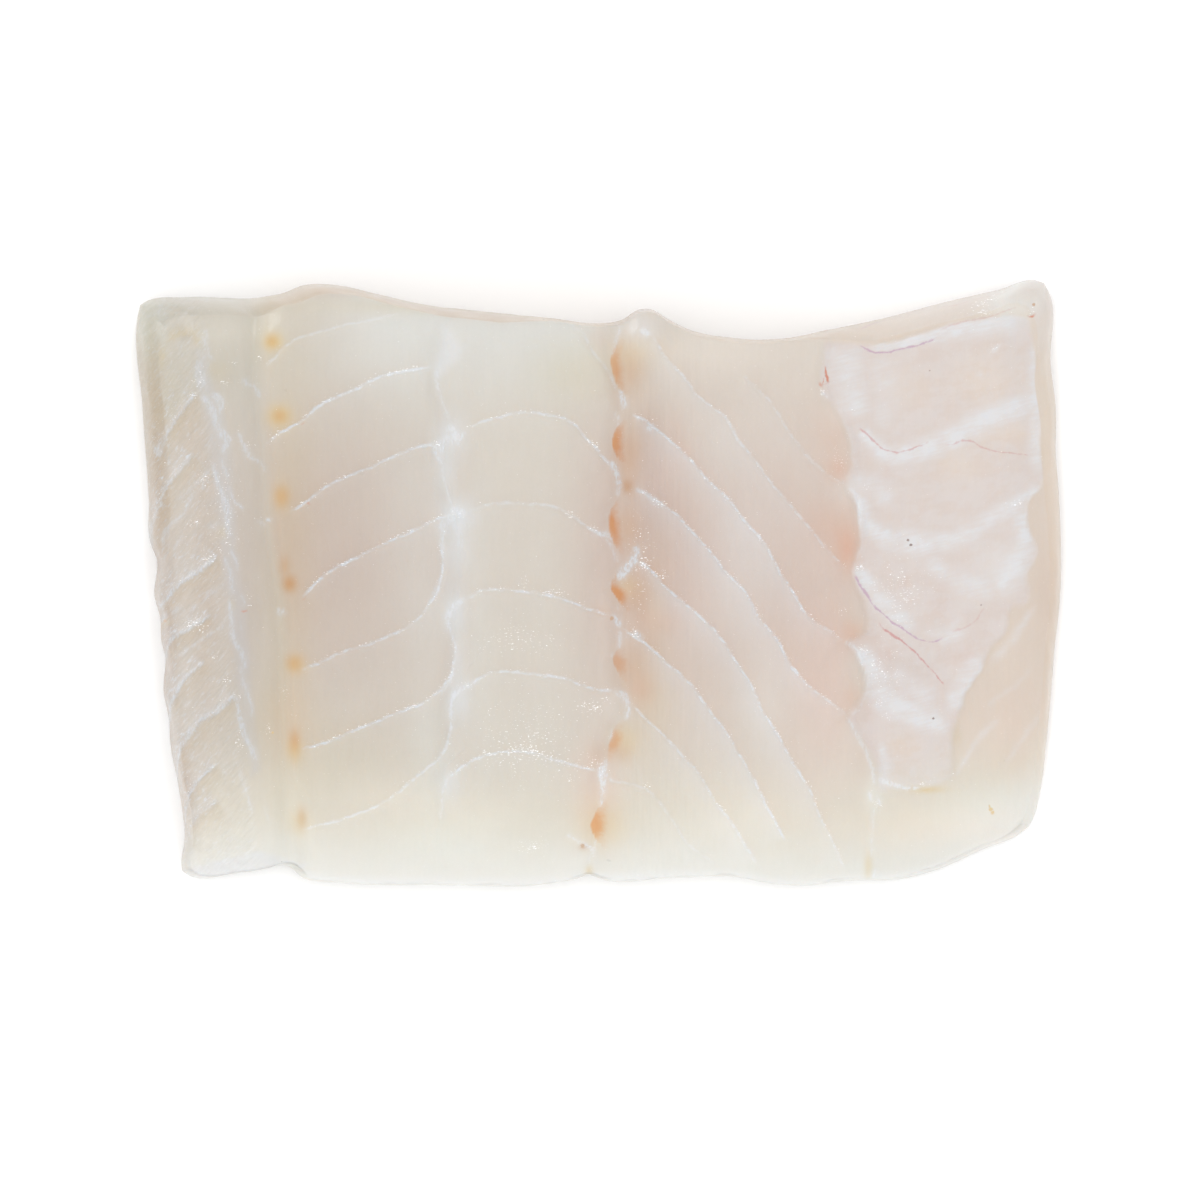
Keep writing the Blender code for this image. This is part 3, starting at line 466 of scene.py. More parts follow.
# Specks, in pixels: tone, then x, y and half-size of each.
SPECKS = [
    ((205, 168, 135), [(612, 618, 2.2), (583, 845, 2.2), (166, 621, 1.8), (1033, 305, 1.5)]),
    ((232, 202, 145), [(992, 812, 2.2), (990, 809, 2.0), (989, 806, 1.6), (274, 732, 1.6)]),
    ((135, 105, 95), [(907, 540, 1.3), (910, 545, 1.4), (980, 605, 1.2), (932, 718, 1.3), (929, 371, 1.2)]),
]

# Places with painted glints on the wet surface, in pixels: x, y, half-widths along x and y.
GLITTER = [
    (261, 332, 5, 5), (261, 361, 5, 5), (225, 383, 6, 4), (234, 364, 3, 3), (252, 445, 7, 4),
    (258, 518, 6, 3), (271, 728, 5, 9), (284, 762, 5, 4), (286, 690, 5, 8), (214, 655, 6, 5),
    (240, 694, 5, 5), (201, 380, 6, 14), (198, 396, 5, 5), (212, 560, 7, 6), (205, 480, 9, 9),
    (196, 522, 11, 7), (228, 680, 7, 8), (200, 625, 14, 8), (240, 740, 6, 14), (590, 706, 17, 8),
    (606, 696, 8, 5), (595, 760, 12, 8), (570, 778, 6, 4), (648, 785, 7, 5), (635, 631, 6, 5),
    (657, 505, 8, 4), (666, 575, 8, 7), (655, 418, 6, 5), (594, 445, 6, 4), (569, 515, 7, 4),
    (592, 529, 5, 3), (470, 427, 5, 4), (464, 684, 7, 4), (525, 580, 6, 7), (535, 845, 16, 10),
    (560, 594, 12, 6), (924, 782, 9, 4), (951, 774, 3, 6), (985, 313, 22, 4), (908, 624, 5, 4),
    (822, 392, 6, 5), (851, 412, 4, 4), (866, 489, 7, 4), (888, 490, 6, 4), (917, 544, 8, 3),
    (887, 715, 6, 5), (995, 349, 7, 5), (1038, 347, 4, 7), (1029, 312, 4, 4), (874, 803, 7, 4),
    (860, 568, 6, 7), (862, 650, 6, 8), (440, 445, 6, 8), (458, 514, 8, 6), (604, 773, 6, 6),
    (248, 600, 5, 8), (1016, 505, 12, 4), (880, 700, 6, 6),
]

# Wider places with fewer painted glints, as above.
FAINT_GLITTER = [
    (530, 740, 62, 48), (838, 458, 12, 18), (842, 610, 9, 12), (520, 640, 45, 20), (225, 520, 20, 60),
    (900, 590, 30, 40), (885, 670, 24, 30), (640, 560, 14, 60),
]

# How strong the painted glints are in the faint places, along the seams and on the rough flesh. Along a seam
# they lie a little above the line, in millimetres.
FAINT_STRENGTH, SEAM_GLITTER, ROUGH_GLITTER = 0.7, 0.85, 0.5
GLITTER_ABOVE, GLITTER_REACH = 0.2, 0.5

# Colours as they look in the photograph, with each channel from 0 to 255.
FLESH_BACK = (213, 206, 195)
FLESH_BELLY = (227, 217, 207)
DEEPENING = (9, 18, 18)
MIDDLE_ROW = (221, 216, 206)
HEAD_END_GREY = (224, 223, 218)
# Painted glow of the light that comes through the thin front, in its margin:
MARGIN_WARM = (227, 221, 207)
MARGIN_GLOW_WHITE = (234, 233, 226)
FRINGE_TONE = (208, 201, 191)
FRINGE_CORNER = (205, 199, 187)
RIM_BROWN = (195, 181, 160)
TIP_BROWN = (190, 165, 140)
LINING_PINK = (224, 212, 206)
LINING_WHITE = (230, 229, 230)
FLAP_TONE = (225, 211, 198)
# The back cut face's brown is partly painted shade:
CUT_FACE_BACK = (207, 190, 173)
CUT_FACE_RIGHT = (228, 212, 196)
CUT_FACE_CORNER = (230, 220, 212)
FLAKE_HAZE, FLAKE_OCHRE = (214, 209, 204), (203, 188, 165)
VIOLET_TONE, RED_TONE, BLOOD_TONE = (203, 172, 192), (212, 160, 158), (216, 145, 122)
SKIN_SIDE = (220, 217, 213)
# Painted glow at the front right corner and along the front edge:
FRONT_CORNER = (230, 229, 223)
EDGE_GLOW_WHITE = (239, 239, 237)

# Painted shade on the cut faces: how much darker they are painted than their tone, since they face the light
# and come out lighter, and the back left one more.
RIM_GLARE, FOOT_GLARE, CORNER_RIM_GLARE, CORNER_FOOT_GLARE = 3, 14, 4, 7

# Zones of tone, in millimetres: where one starts or ends across or along the fish, and how softly.
PINKER_FROM, PINKER_OVER = -40, 95
DEEP_MIDDLE, DEEP_REACH = 4, 36
MIDDLE_ROW_LEFT, MIDDLE_ROW_RIGHT = (-20, 5), (-3, 6)
GREY_HEAD, GREY_LEFT, GREY_RIGHT = (30, 9), (-38, 8), (1, 6)
FRINGE_HEAD, FRINGE_SOFTNESS, FRINGE_WALL_SOFTNESS = (28, 8), 0.8, 6
BROWN_RIM_START, BROWN_RIM_END = (10, 5), (39, 2)
BROWN_RIM_WIDTH, BROWN_TIP_WIDTH = (3.2, 1.4), (0.7, 0.5)
BELLY_FACE, BELLY_CORNER, BELLY_CORNER_HEAD = (40, 15), (35, 15), (34, 5)
LOIN_CORNER, LOIN_CORNER_HEAD = (-47, 4), (38, 3)
FLAKY_WALL, FLAKY_WALL_HEAD = (-57, 3), (20, 4)
FRONT_CORNER_LEFT = (50, 12)
FLAP_SOFTNESS, LINING_SOFTNESS = 0.4, 0.3
FLAKES_END_SOFTNESS, LINING_LOOK_SOFTNESS = 1.5, 0.5

# Zones that begin or end at a column or a row of the photograph: the pixel, then how softly, in millimetres.
SLANTING_ROWS = (643, 3.5)
LOBES, SEAMS_FRONT = (815, 4), (866, 1.5)
FIBRES_LEFT, FIBRES_RIGHT = (622, 1), (705, 4)

# How much of a tone shows where it lies over another.
MIDDLE_ROW_SHARE, HEAD_END_SHARE, FRINGE_SHARE, RIM_SHARE, TIP_SHARE = 0.6, 0.9, 0.6, 0.8, 0.45
FLAP_SHARE, LINING_SHARE, FLAKE_OCHRE_SHARE, FLAKE_HAZE_SHARE = 0.8, 0.9, 0.6, 0.65
CUT_FACE_SHARE, FLAKY_WALL_SHARE, FRONT_CORNER_SHARE, SKIN_SIDE_SHARE = 0.9, 0.9, 0.7, 0.85

# How strong the markings are on the cut faces and on the underside, how much of the seams' white is lost at
# the lobes and at the front, and the strength of the fibres everywhere and beside the third valley.
FACE_MARKINGS, UNDERSIDE_MARKINGS = 0.6, 0.3
LOBES_LOSS, FRONT_LOSS = 0.6, 0.8
FIBRES_ALL, FIBRES_MORE = 0.3, 0.45

# Bands of painted glow inwards from the front edge, where light comes through the thin flesh: tone, how far
# in it ends, in millimetres, and how softly.
FRONT_GLOW_BANDS = [(MARGIN_WARM, 14, 8), (MARGIN_GLOW_WHITE, 5.5, 6.5), (FRONT_CORNER, 6, 6), (EDGE_GLOW_WHITE, 0.9, 1.1)]

# Painted shade: shares of red, green and blue left where a flake's upper side dips under the next one.
FLAKE_SHADE = (0.98, 0.93, 0.905)

# Broad darkening across the fish, in millimetres and shares, where the flesh is thick and clear.
DEEP_STATIONS = [
    (-70, 0.5), (-55, 0.8), (-45, 0.95), (-35, 0.8), (-20, 0.5), (-8, 0.45), (0, 1.0), (12, 1.15),
    (28, 0.9), (50, 0.5),
]

# The studio light: how much brighter a white card reads than a perfect white, and what the gloss adds to it.
LIGHT_ON_FLESH, GLOSS = 1.39, 0.03

# Lines by the name that the material knows them by: the table, and how far beyond its width a line shows, in
# millimetres. Neighbouring seams and threads are kept apart, so that each gap stays smooth between them.
LINES = {
    "seam_a": (SEAMS[::2], 4.0), "seam_b": (SEAMS[1::2], 4.0),
    "tissue_a": (TISSUE[::2], 0.6), "tissue_b": (TISSUE[1::2], 0.6),
    "rim": (FRINGE_RIMS, 0.7), "edge": (FRINGE_EDGES, 0.7),
    "violet": (VIOLET_VESSELS, 0.4), "red": (RED_VESSELS, 0.4), "blood": (BLOOD, 0.4),
}
# How far around a line its gap is measured, and how it fades in from its ends, in millimetres.
SEAM_NEAR, SEAM_END = 15.0, 0.8
THREAD_NEAR, THREAD_END = 4.0, 0.35
VEIL_NEAR, VEIL_END = 8.0, (0.3, 1.2)
SPOT_NEAR = 6.0
# Length of a line's straight runs where it isn't the usual one, how much wider a veil is than its table says,
# and where the lining's veils begin at its edge, in millimetres.
VEIL_STEP, VALLEY_STEP, SPOT_STEP = 1.5, 1.0, 0.3
VEIL_SPREAD, VEILS_FROM = 0.15, (-0.1, 0.3)

# Grid of the upper surface, how many of its cells a cell of the underside spans, and rings of the cut faces.
ACROSS, ALONG, COARSE, WALL_RINGS = 341, 216, 5, 15
LINE_SAMPLES, SECTION_SAMPLES = 60, 200

# How far down a cut face a point is: 0 on the upper surface, at least WALL_START on the face, and 1 at its
# foot. The tone of the face is full from WALL_FADE on.
WALL_START, WALL_FADE, UNDERSIDE = 0.1, 1 / 9, 2.0
UNDERSIDE_LOOK = 0.96  # the underside's markings are read this much nearer to the middle


def on_fish(points):
    """Photo pixels to millimetres on the portion. A third value, such as half a width, is a plain size."""
    p = np.array(points, float)
    p[:, :2] -= PIXEL_CENTRE
    p[:, 1] *= -1
    return p * MM_PER_PIXEL


def curve_through(points, count):
    """Rows at even distances along the smooth curve that passes through the given ones."""
    p = np.array(points, float)
    chord = np.concatenate([[0], np.cumsum(np.linalg.norm(np.diff(p, axis=0), axis=1))])
    slope = np.gradient(p, chord, axis=0)
    at = np.linspace(0, chord[-1], 12 * len(p))
    k = np.clip(np.searchsorted(chord, at, side="right") - 1, 0, len(p) - 2)
    span = (chord[k + 1] - chord[k])[:, None]
    t = (at - chord[k])[:, None] / span
    curve = (1 + 2 * t) * (1 - t) ** 2 * p[k] + t**2 * (3 - 2 * t) * p[k + 1]
    curve += span * t * (1 - t) * ((1 - t) * slope[k] - t * slope[k + 1])
    run = np.concatenate([[0], np.cumsum(np.linalg.norm(np.diff(curve, axis=0), axis=1))])
    even = np.linspace(0, run[-1], count)
    return np.stack([np.interp(even, run, column) for column in curve.T], axis=1)


def traced(points, step=0.8):
    """The smooth curve through points of the photograph, in millimetres."""
    p = on_fish(points)
    length = np.sum(np.linalg.norm(np.diff(p[:, :2], axis=0), axis=1))
    return curve_through(p, max(8, int(length / step)))


def smooth_step(x, width):
    """Rises smoothly from 0 to 1 while x goes from -width to width."""
    t = np.clip(0.5 + 0.5 * x / width, 0, 1)
    return t * t * (3 - 2 * t)


def past(value, start, softness):
    """Rises smoothly from 0 to 1 where a value passes `start`."""
    return smooth_step(value - start, softness)


def short_of(value, end, softness):
    """Falls smoothly from 1 to 0 where a value passes `end`."""
    return 1 - smooth_step(value - end, softness)


def trough(gap, reach):
    """The section of a groove: 1 along its line, and almost nothing at twice its reach."""
    return np.exp(-((gap / reach) ** 2))


FAR = 99.0


def nearest_on(line, x, y, within=15.0):
    """Each point's distance from a line of straight runs, positive to its right, with two values of the
    nearest place on the line: its distance along the line from the nearer end, and the line's third value.

    Points further than `within` from the line's box keep the distance FAR."""
    gap_all = np.full(x.shape, FAR)
    end_all = np.zeros(x.shape)
    third_all = np.zeros(x.shape)
    low, high = line.min(0) - within, line.max(0) + within
    near = (x > low[0]) & (x < high[0]) & (y > low[1]) & (y < high[1])
    px, py = x[near], y[near]
    best = np.full(px.shape, FAR)
    side, at, third = (np.zeros(px.shape) for _ in range(3))
    run = 0.0
    for start, end in zip(line[:-1], line[1:]):
        ax, ay = start[:2]
        dx, dy = end[:2] - start[:2]
        length = np.hypot(dx, dy)
        t = np.clip(((px - ax) * dx + (py - ay) * dy) / length**2, 0, 1)
        gap = np.hypot(px - ax - t * dx, py - ay - t * dy)
        nearer = gap < best
        side = np.where(nearer, (px - ax) * dy - (py - ay) * dx, side)
        at = np.where(nearer, run + t * length, at)
        third = np.where(nearer, start[-1] + t * (end[-1] - start[-1]), third)
        best = np.where(nearer, gap, best)
        run += length
    gap_all[near] = np.where(side < 0, -best, best)
    end_all[near] = np.minimum(at, run - at)
    third_all[near] = third
    return gap_all, end_all, third_all


def depth_inside(ring, x, y, within=12.0):
    """Distance of each point inside a closed outline, negative outside it."""
    closed = np.concatenate([ring, ring[:1]])
    closed = closed[np.concatenate([[True], np.linalg.norm(np.diff(closed, axis=0), axis=1) > 1e-6])]
    gap, _, _ = nearest_on(closed, x, y, within)
    inside = np.zeros(x.shape, bool)
    for (ax, ay), (bx, by) in zip(closed[:-1], closed[1:]):
        if ay != by:
            inside ^= ((ay > y) != (by > y)) & (x < ax + (y - ay) * (bx - ax) / (by - ay))
    return np.where(inside, np.abs(gap), -np.abs(gap))


def line_at(points, y):
    """The x of a line that runs along the fish, at each y."""
    line = curve_through(points, LINE_SAMPLES)[::-1]
    return np.interp(y, line[:, 1], line[:, 0])


def ripples(x, y, size, seed):
    """Smooth uneven waves between about -1 and 1, `size` millimetres from crest to crest."""
    draw = np.random.default_rng(seed)
    total = np.zeros(x.shape)
    waves = 7
    for i in range(waves):
        angle = np.pi * (i + draw.random()) / waves
        rate = 2 * np.pi / size * draw.uniform(0.7, 1.4)
        total += np.sin(rate * (x * np.cos(angle) + y * np.sin(angle)) + draw.uniform(0, 2 * np.pi))
    return total / waves * 1.6


def uneven(x, y, table):
    """The waves of a table, added up."""
    return sum(height * ripples(x, y, size, seed) for height, size, seed in table)


# ---- Shape ---------------------------------------------------------------------------------------


def outline_patch():
    """A grid of points that fills the outline, blended from its four sides, first row at the back."""
    across = [curve_through(edge, ACROSS) for edge in (BACK_EDGE, FRONT_EDGE)]
    along = [curve_through(edge, ALONG) for edge in (LEFT_EDGE, RIGHT_EDGE)]
    outline = np.concatenate(across + along)
    low, high = outline.min(0), outline.max(0)
    fitted = [(side - (low + high) / 2) * (LENGTH, WIDTH) / (high - low) for side in across + along]
    back, front, left, right = fitted
    u = np.linspace(0, 1, ACROSS)[None, :, None]
    v = np.linspace(0, 1, ALONG)[:, None, None]
    sides = (1 - v) * back + v * front + (1 - u) * left[:, None] + u * right[:, None]
    ends = (1 - v) * ((1 - u) * back[0] + u * back[-1]) + v * ((1 - u) * front[0] + u * front[-1])
    return sides - ends


def drawn_in(patch, lean, front_lean, tuck):
    """The patch with its sides moved in by a share of the rim's distances and `tuck` of the underside's."""
    x, y = patch[..., 0], patch[..., 1]
    u = np.linspace(0, 1, patch.shape[1])[None, :]
    v = np.linspace(0, 1, patch.shape[0])[:, None]
    from_left = lean * np.interp(y, *np.array(LEFT_LEAN).T) + tuck * BASE_TUCK
    from_right = lean * np.interp(y, *np.array(RIGHT_LEAN).T) + tuck * BASE_TUCK
    from_back = lean * np.interp(x, *np.array(BACK_LEAN).T) + tuck * BASE_TUCK
    from_front = front_lean * FRONT_LEAN + tuck * BASE_TUCK
    inward_x = (1 - u) * from_left - u * from_right
    inward_y = v * from_front - (1 - v) * from_back
    return np.stack([x + inward_x, y + inward_y], axis=-1)


def round_the_edge(grid):
    """The border of a grid as one ring: along the back, down the right, along the front and up the left."""
    return np.concatenate([grid[0, :-1], grid[:-1, -1], grid[-1, :0:-1], grid[:0:-1, 0]])


def rolled(inward, reach, rim, fullness=1.0):
    """Share of the height left at this distance inward from a rolled edge."""
    return rim + (1 - rim) * np.sin(0.5 * np.pi * np.clip(inward / reach, 0, 1)) ** fullness


def large_forms(x, y):
    """The fringe and the belly flap lie lower than the flakes beside them, and a knob stands at the back."""
    z = -FRINGE_DROP * short_of(x, line_at(on_fish(LOIN_STEP_LINE), y), FRINGE_SLOPE)
    z = z - FLAP_DROP * past(x, line_at(on_fish(LINING_LEFT), y), FLAP_SLOPE)
    to_knob = np.hypot(x - KNOB_PLACE[0], y - KNOB_PLACE[1])
    return z + KNOB_HEIGHT * trough(to_knob, KNOB_RADIUS)


def body_height(x, y):
    """Height of the upper surface before its relief, over its grid of points."""
    section = np.array(CROSS_SECTION)
    share = np.interp(x, *curve_through(section * (1, LENGTH), SECTION_SAMPLES).T) / LENGTH
    share = share * rolled(y - y[-1], FRONT_ROLL, FRONT_RIM, FRONT_FULLNESS)
    share = share * rolled(y[0] - y, BACK_ROLL, BACK_RIM)
    share = share * rolled(x - x[:, :1], LEFT_ROLL, LEFT_RIM)
    share = share * rolled(x[:, -1:] - x, RIGHT_ROLL, RIGHT_RIM)
    return LOIN_HEIGHT * share + large_forms(x, y)


class Markings:
    """Everything that is read off the photograph's lines, at each point of the surface."""

    def __init__(self, x, y):
        self.x = x + uneven(x, y, WANDER_ACROSS)
        self.y = y + uneven(x, y, WANDER_ALONG)
        self.terrace, self.groove, self.rough, self.smooth = (np.zeros(x.shape) for _ in range(4))
        carvers = {"seam_a": self.carve_seam, "seam_b": self.carve_seam, "rim": self.carve_fringe}
        self.lines = {name: self.nearest(*line, carvers.get(name)) for name, line in LINES.items()}
        self.valleys = self.measure_valleys()
        sides = (LINING_LEFT, LINING_BOTTOM, LINING_RIGHT, LINING_TOP)
        self.lining = depth_inside(np.concatenate([traced(side) for side in sides]), self.x, self.y)

    def nearest(self, table, reach, carve=None):
        """Gap to the nearest line, half its width and how strong it is, which fades off beyond its reach."""
        gap_all = np.full(self.x.shape, FAR)
        half_all = np.zeros(self.x.shape)
        strength_all = np.zeros(self.x.shape)
        for strength, points in table:
            has_width = len(points[0]) == 3
            near, end = (THREAD_NEAR, THREAD_END) if has_width else (SEAM_NEAR, SEAM_END)
            gap, to_end, half = nearest_on(traced(points), self.x, self.y, near)
            half = half * has_width
            there = past(to_end, end, end)
            nearer = np.abs(gap) - half < np.abs(gap_all) - half_all
            gap_all = np.where(nearer, gap, gap_all)
            half_all = np.where(nearer, half, half_all)
            strength_all = np.where(nearer, strength * there, strength_all)
            if carve:
                carve(gap, there)
        within_reach = short_of(np.abs(gap_all) - half_all, reach, 0.3 * reach)
        return gap_all, half_all, strength_all * within_reach

    def carve_seam(self, gap, there):
        self.groove = np.maximum(self.groove, SEAM_DEPTH * there * trough(gap, SEAM_REACH))
        lift = smooth_step(gap, TERRACE_LIP) * np.exp(-np.abs(gap) / TERRACE_REACH)
        self.terrace = np.maximum(self.terrace, TERRACE_HEIGHT * there * lift)

    def carve_fringe(self, gap, there):
        """Each thin flake ends at its line, with rough pale flesh above it and a smooth warm band below."""
        above = there * short_of(gap, 0.1, 0.25) * np.exp(-np.abs(gap) / ROUGH_REACH)
        below = there * past(gap, 0, 0.3) * np.exp(-np.abs(gap) / SMOOTH_REACH)
        self.rough = np.maximum(self.rough, above)
        self.smooth = np.maximum(self.smooth, below)
        self.groove = np.maximum(self.groove, FLAKE_END_GROOVE * there * trough(gap - 0.3, 0.5))
        self.terrace = np.maximum(self.terrace, FLAKE_END_HEIGHT * above)

    def measure_valleys(self):
        depth_all = np.zeros(self.x.shape)
        for depth, left, right, points in VALLEYS:
            gap, _, _ = nearest_on(traced(points, VALLEY_STEP), self.x, self.y)
            depth_all += depth * np.where(gap > 0, trough(gap, left), trough(gap, right))
        return depth_all


def veils(marks):
    """How white the lining is from its veils, the strongest at each point."""
    strongest = np.zeros(marks.x.shape)
    for table, where in ((VEILS, past(marks.lining, *VEILS_FROM)), (FLAP_VEILS, 1)):
        for strength, points in table:
            gap, to_end, half = nearest_on(traced(points, VEIL_STEP), marks.x, marks.y, VEIL_NEAR)
            there = strength * past(to_end, *VEIL_END) * where
            strongest = np.maximum(strongest, there * trough(gap, half + VEIL_SPREAD))
    return strongest * (1 + uneven(marks.x, marks.y, VEIL_WAVES))


def relief(marks):
    lining = LINING_THICKNESS * smooth_step(marks.lining, LINING_SLOPE) * (1 + VEIL_RELIEF * veils(marks))
    rough = uneven(marks.x, marks.y, LUMPS) + uneven(marks.x * FURROW_SQUEEZE, marks.y, FURROWS)
    return marks.terrace - marks.groove - marks.valleys + lining + rough


def portion_points():
    """Points of the closed mesh, the flat position that each point's markings are read at, and how far down a
    cut face it is, or UNDERSIDE."""
    patch = outline_patch()
    top = drawn_in(patch, 1, 1, 0)
    x, y = top[..., 0], top[..., 1]
    marks = Markings(x.ravel(), y.ravel())
    height = body_height(x, y) + relief(marks).reshape(x.shape)
    rim = round_the_edge(top)
    rim_height = round_the_edge(height)
    along = np.roll(rim, -2, axis=0) - np.roll(rim, 2, axis=0)
    inward = np.stack([along[:, 1], -along[:, 0]], axis=1) / np.linalg.norm(along, axis=1)[:, None]
    groove = np.clip(-relief(Markings(*rim.T)), 0, 1)
    points = [np.dstack([top, height]).reshape(-1, 3)]
    looked_up = [top.reshape(-1, 2)]
    wall = [np.zeros(x.size)]
    profile = np.array(WALL_PROFILE)
    steps = np.linspace(0, len(profile) - 1, WALL_RINGS + 1)[1:]
    for lean, share, tuck in zip(*(np.interp(steps, range(len(profile)), column) for column in profile.T)):
        ring = round_the_edge(drawn_in(patch, 1 - lean, share, tuck))
        z = BASE_RISE + share * (rim_height - BASE_RISE)
        dent = WALL_GROOVE * groove + uneven(ring[:, 0] + ring[:, 1], z, WALL_LUMPS)
        ring = ring + inward * (share * dent)[:, None]
        points.append(np.column_stack([ring, z]))
        drift = 1 - SEPTUM_SLOPE * (rim_height - z) / (WIDTH / 2)
        looked_up.append(np.column_stack([ring[:, 0], ring[:, 1] * drift]))
        wall.append(np.full(len(ring), max(1 - share, WALL_START)))
    under = drawn_in(patch, 0, 0, UNDERSIDE_TUCK)[::COARSE, ::COARSE]
    points.append(np.dstack([under, underside_height(*under.shape[:2])]).reshape(-1, 3))
    looked_up.append(under.reshape(-1, 2) * UNDERSIDE_LOOK)
    wall.append(np.full(under.shape[0] * under.shape[1], UNDERSIDE))
    return np.concatenate(points), np.concatenate(looked_up), np.concatenate(wall)


def underside_height(rows, columns):
    """The underside lies flat in the middle and rises a little to its edge."""
    u = np.linspace(0, 1, columns)[None, :]
    v = np.linspace(0, 1, rows)[:, None]
    inset = np.minimum(LENGTH * np.minimum(u, 1 - u), WIDTH * np.minimum(v, 1 - v))
    return 0.8 * BASE_RISE * np.exp(-inset / 4)


def portion_faces():
    number = np.arange(ACROSS * ALONG).reshape(ALONG, ACROSS)
    faces = grid_faces(number)
    above = round_the_edge(number)
    for i in range(WALL_RINGS):
        below = number.size + i * len(above) + np.arange(len(above))
        faces += np.stack([above, np.roll(above, -1), np.roll(below, -1), below], axis=-1).tolist()
        above = below
    rows, columns = (ALONG - 1) // COARSE + 1, (ACROSS - 1) // COARSE + 1
    under = above[-1] + 1 + np.arange(rows * columns).reshape(rows, columns)
    inner = round_the_edge(under)
    fine = above.reshape(-1, COARSE)
    for k in range(len(inner)):
        after = (k + 1) % len(inner)
        faces.append([*fine[k].tolist(), int(fine[after][0]), int(inner[after]), int(inner[k])])
    faces += grid_faces(under[::-1])
    return faces


def grid_faces(number):
    corners = [number[1:, :-1], number[1:, 1:], number[:-1, 1:], number[:-1, :-1]]
    return np.stack(corners, axis=-1).reshape(-1, 4).tolist()


# ---- Colour --------------------------------------------------------------------------------------


def mix(under, over, share):
    return under + (np.array(over, float) - under) * np.clip(share, 0, 1)[:, None]


def plain(tone, count):
    return np.tile(np.array(tone, float), (count, 1))


def blot(x, y, px, py, half_x, half_y):
    """A soft round patch, placed in pixels."""
    (cx, cy), = on_fish([(px, py)])
    off = ((x - cx) / (half_x * MM_PER_PIXEL)) ** 2 + ((y - cy) / (half_y * MM_PER_PIXEL)) ** 2
    return np.exp(-off)


def soft_places(table, x, y):
    """Each soft patch of a table: its tone, and how much of it there is at each point."""
    for tone, places in table:
        for *place, strength in places:
            yield tone, strength * blot(x, y, *place)


def broad_flesh(x, y):
    """The flesh's broad tones: darker where it is thick, and pinker towards the belly."""
    tone = mix(plain(FLESH_BACK, x.size), FLESH_BELLY, (x - PINKER_FROM) / PINKER_OVER)
    deep = 0.5 + 0.5 * np.cos(np.pi * np.clip((y - DEEP_MIDDLE) / DEEP_REACH, -1, 1))
    deep = deep * np.interp(x, *np.array(DEEP_STATIONS).T)
    tone = tone - np.array(DEEPENING) * deep[:, None]
    middle_row = past(x, *MIDDLE_ROW_LEFT) * short_of(x, *MIDDLE_ROW_RIGHT)
    tone = mix(tone, MIDDLE_ROW, MIDDLE_ROW_SHARE * middle_row)
    grey = past(y, *GREY_HEAD) * past(x, *GREY_LEFT) * short_of(x, *GREY_RIGHT)
    return mix(tone, HEAD_END_GREY, HEAD_END_SHARE * grey)


def painted_front_glow(tone, x, y):
    """The front lets light through where it thins out, and this is painted as a glow in paler bands of tone.
    """
    gap = y - np.interp(x, *np.array(FRONT_EDGE).T)
    for over, end, softness in FRONT_GLOW_BANDS:
        share = FRONT_CORNER_SHARE * past(x, *FRONT_CORNER_LEFT) if over is FRONT_CORNER else 1
        tone = mix(tone, over, share * short_of(gap, end, softness))
    return tone


def fringe_colour(tone, x, y, softness=FRINGE_SOFTNESS):
    """The thin flakes along the back of the fish, browner at their rim."""
    fringe = short_of(x, line_at(on_fish(LOIN_STEP_LINE), y), softness)
    tone = mix(tone, FRINGE_TONE, FRINGE_SHARE * fringe)
    tone = mix(tone, FRINGE_CORNER, fringe * past(y, *FRINGE_HEAD))
    from_rim = x - np.interp(y, *np.array(LEFT_EDGE)[::-1, ::-1].T)
    head_end = past(y, *BROWN_RIM_START) * short_of(y, *BROWN_RIM_END)
    tone = mix(tone, RIM_BROWN, RIM_SHARE * head_end * short_of(from_rim, *BROWN_RIM_WIDTH))
    return mix(tone, TIP_BROWN, TIP_SHARE * (1 - head_end) * short_of(from_rim, *BROWN_TIP_WIDTH))


def belly_colour(tone, marks):
    """The belly flap and the thin lining on it."""
    flap = past(marks.x, line_at(on_fish(LINING_LEFT), marks.y), FLAP_SOFTNESS)
    tone = mix(tone, FLAP_TONE, FLAP_SHARE * flap)
    return mix(tone, LINING_PINK, LINING_SHARE * smooth_step(marks.lining, LINING_SOFTNESS))


def paint(looked_up, wall, marks):
    """The colour of each point, as it would look in the photograph."""
    x, y = looked_up.T
    tone = belly_colour(fringe_colour(broad_flesh(x, y), x, y), marks)
    # painted glow along the thin front
    tone = painted_front_glow(tone, x, y)
    tone = mix(tone, FLAKE_OCHRE, FLAKE_OCHRE_SHARE * marks.smooth)
    tone = mix(tone, FLAKE_HAZE, FLAKE_HAZE_SHARE * marks.rough)
    for tint, share in soft_places(TINTS, x, y):
        tone = mix(tone, tint, share)
    for tint, strength, softness, outline in PANES:
        inside = depth_inside(on_fish(outline), marks.x, marks.y)
        tone = mix(tone, tint, strength * smooth_step(inside, softness))
    on_wall = np.clip(wall / WALL_FADE, 0, 1) * (wall != UNDERSIDE)
    tone = mix(tone, cut_faces(tone, x, y, wall), CUT_FACE_SHARE * on_wall)
    for cast, share in soft_places(CASTS, x, y):
        tone = tone + np.array(cast) * share[:, None]
    return mix(tone, SKIN_SIDE, SKIN_SIDE_SHARE * (wall == UNDERSIDE))


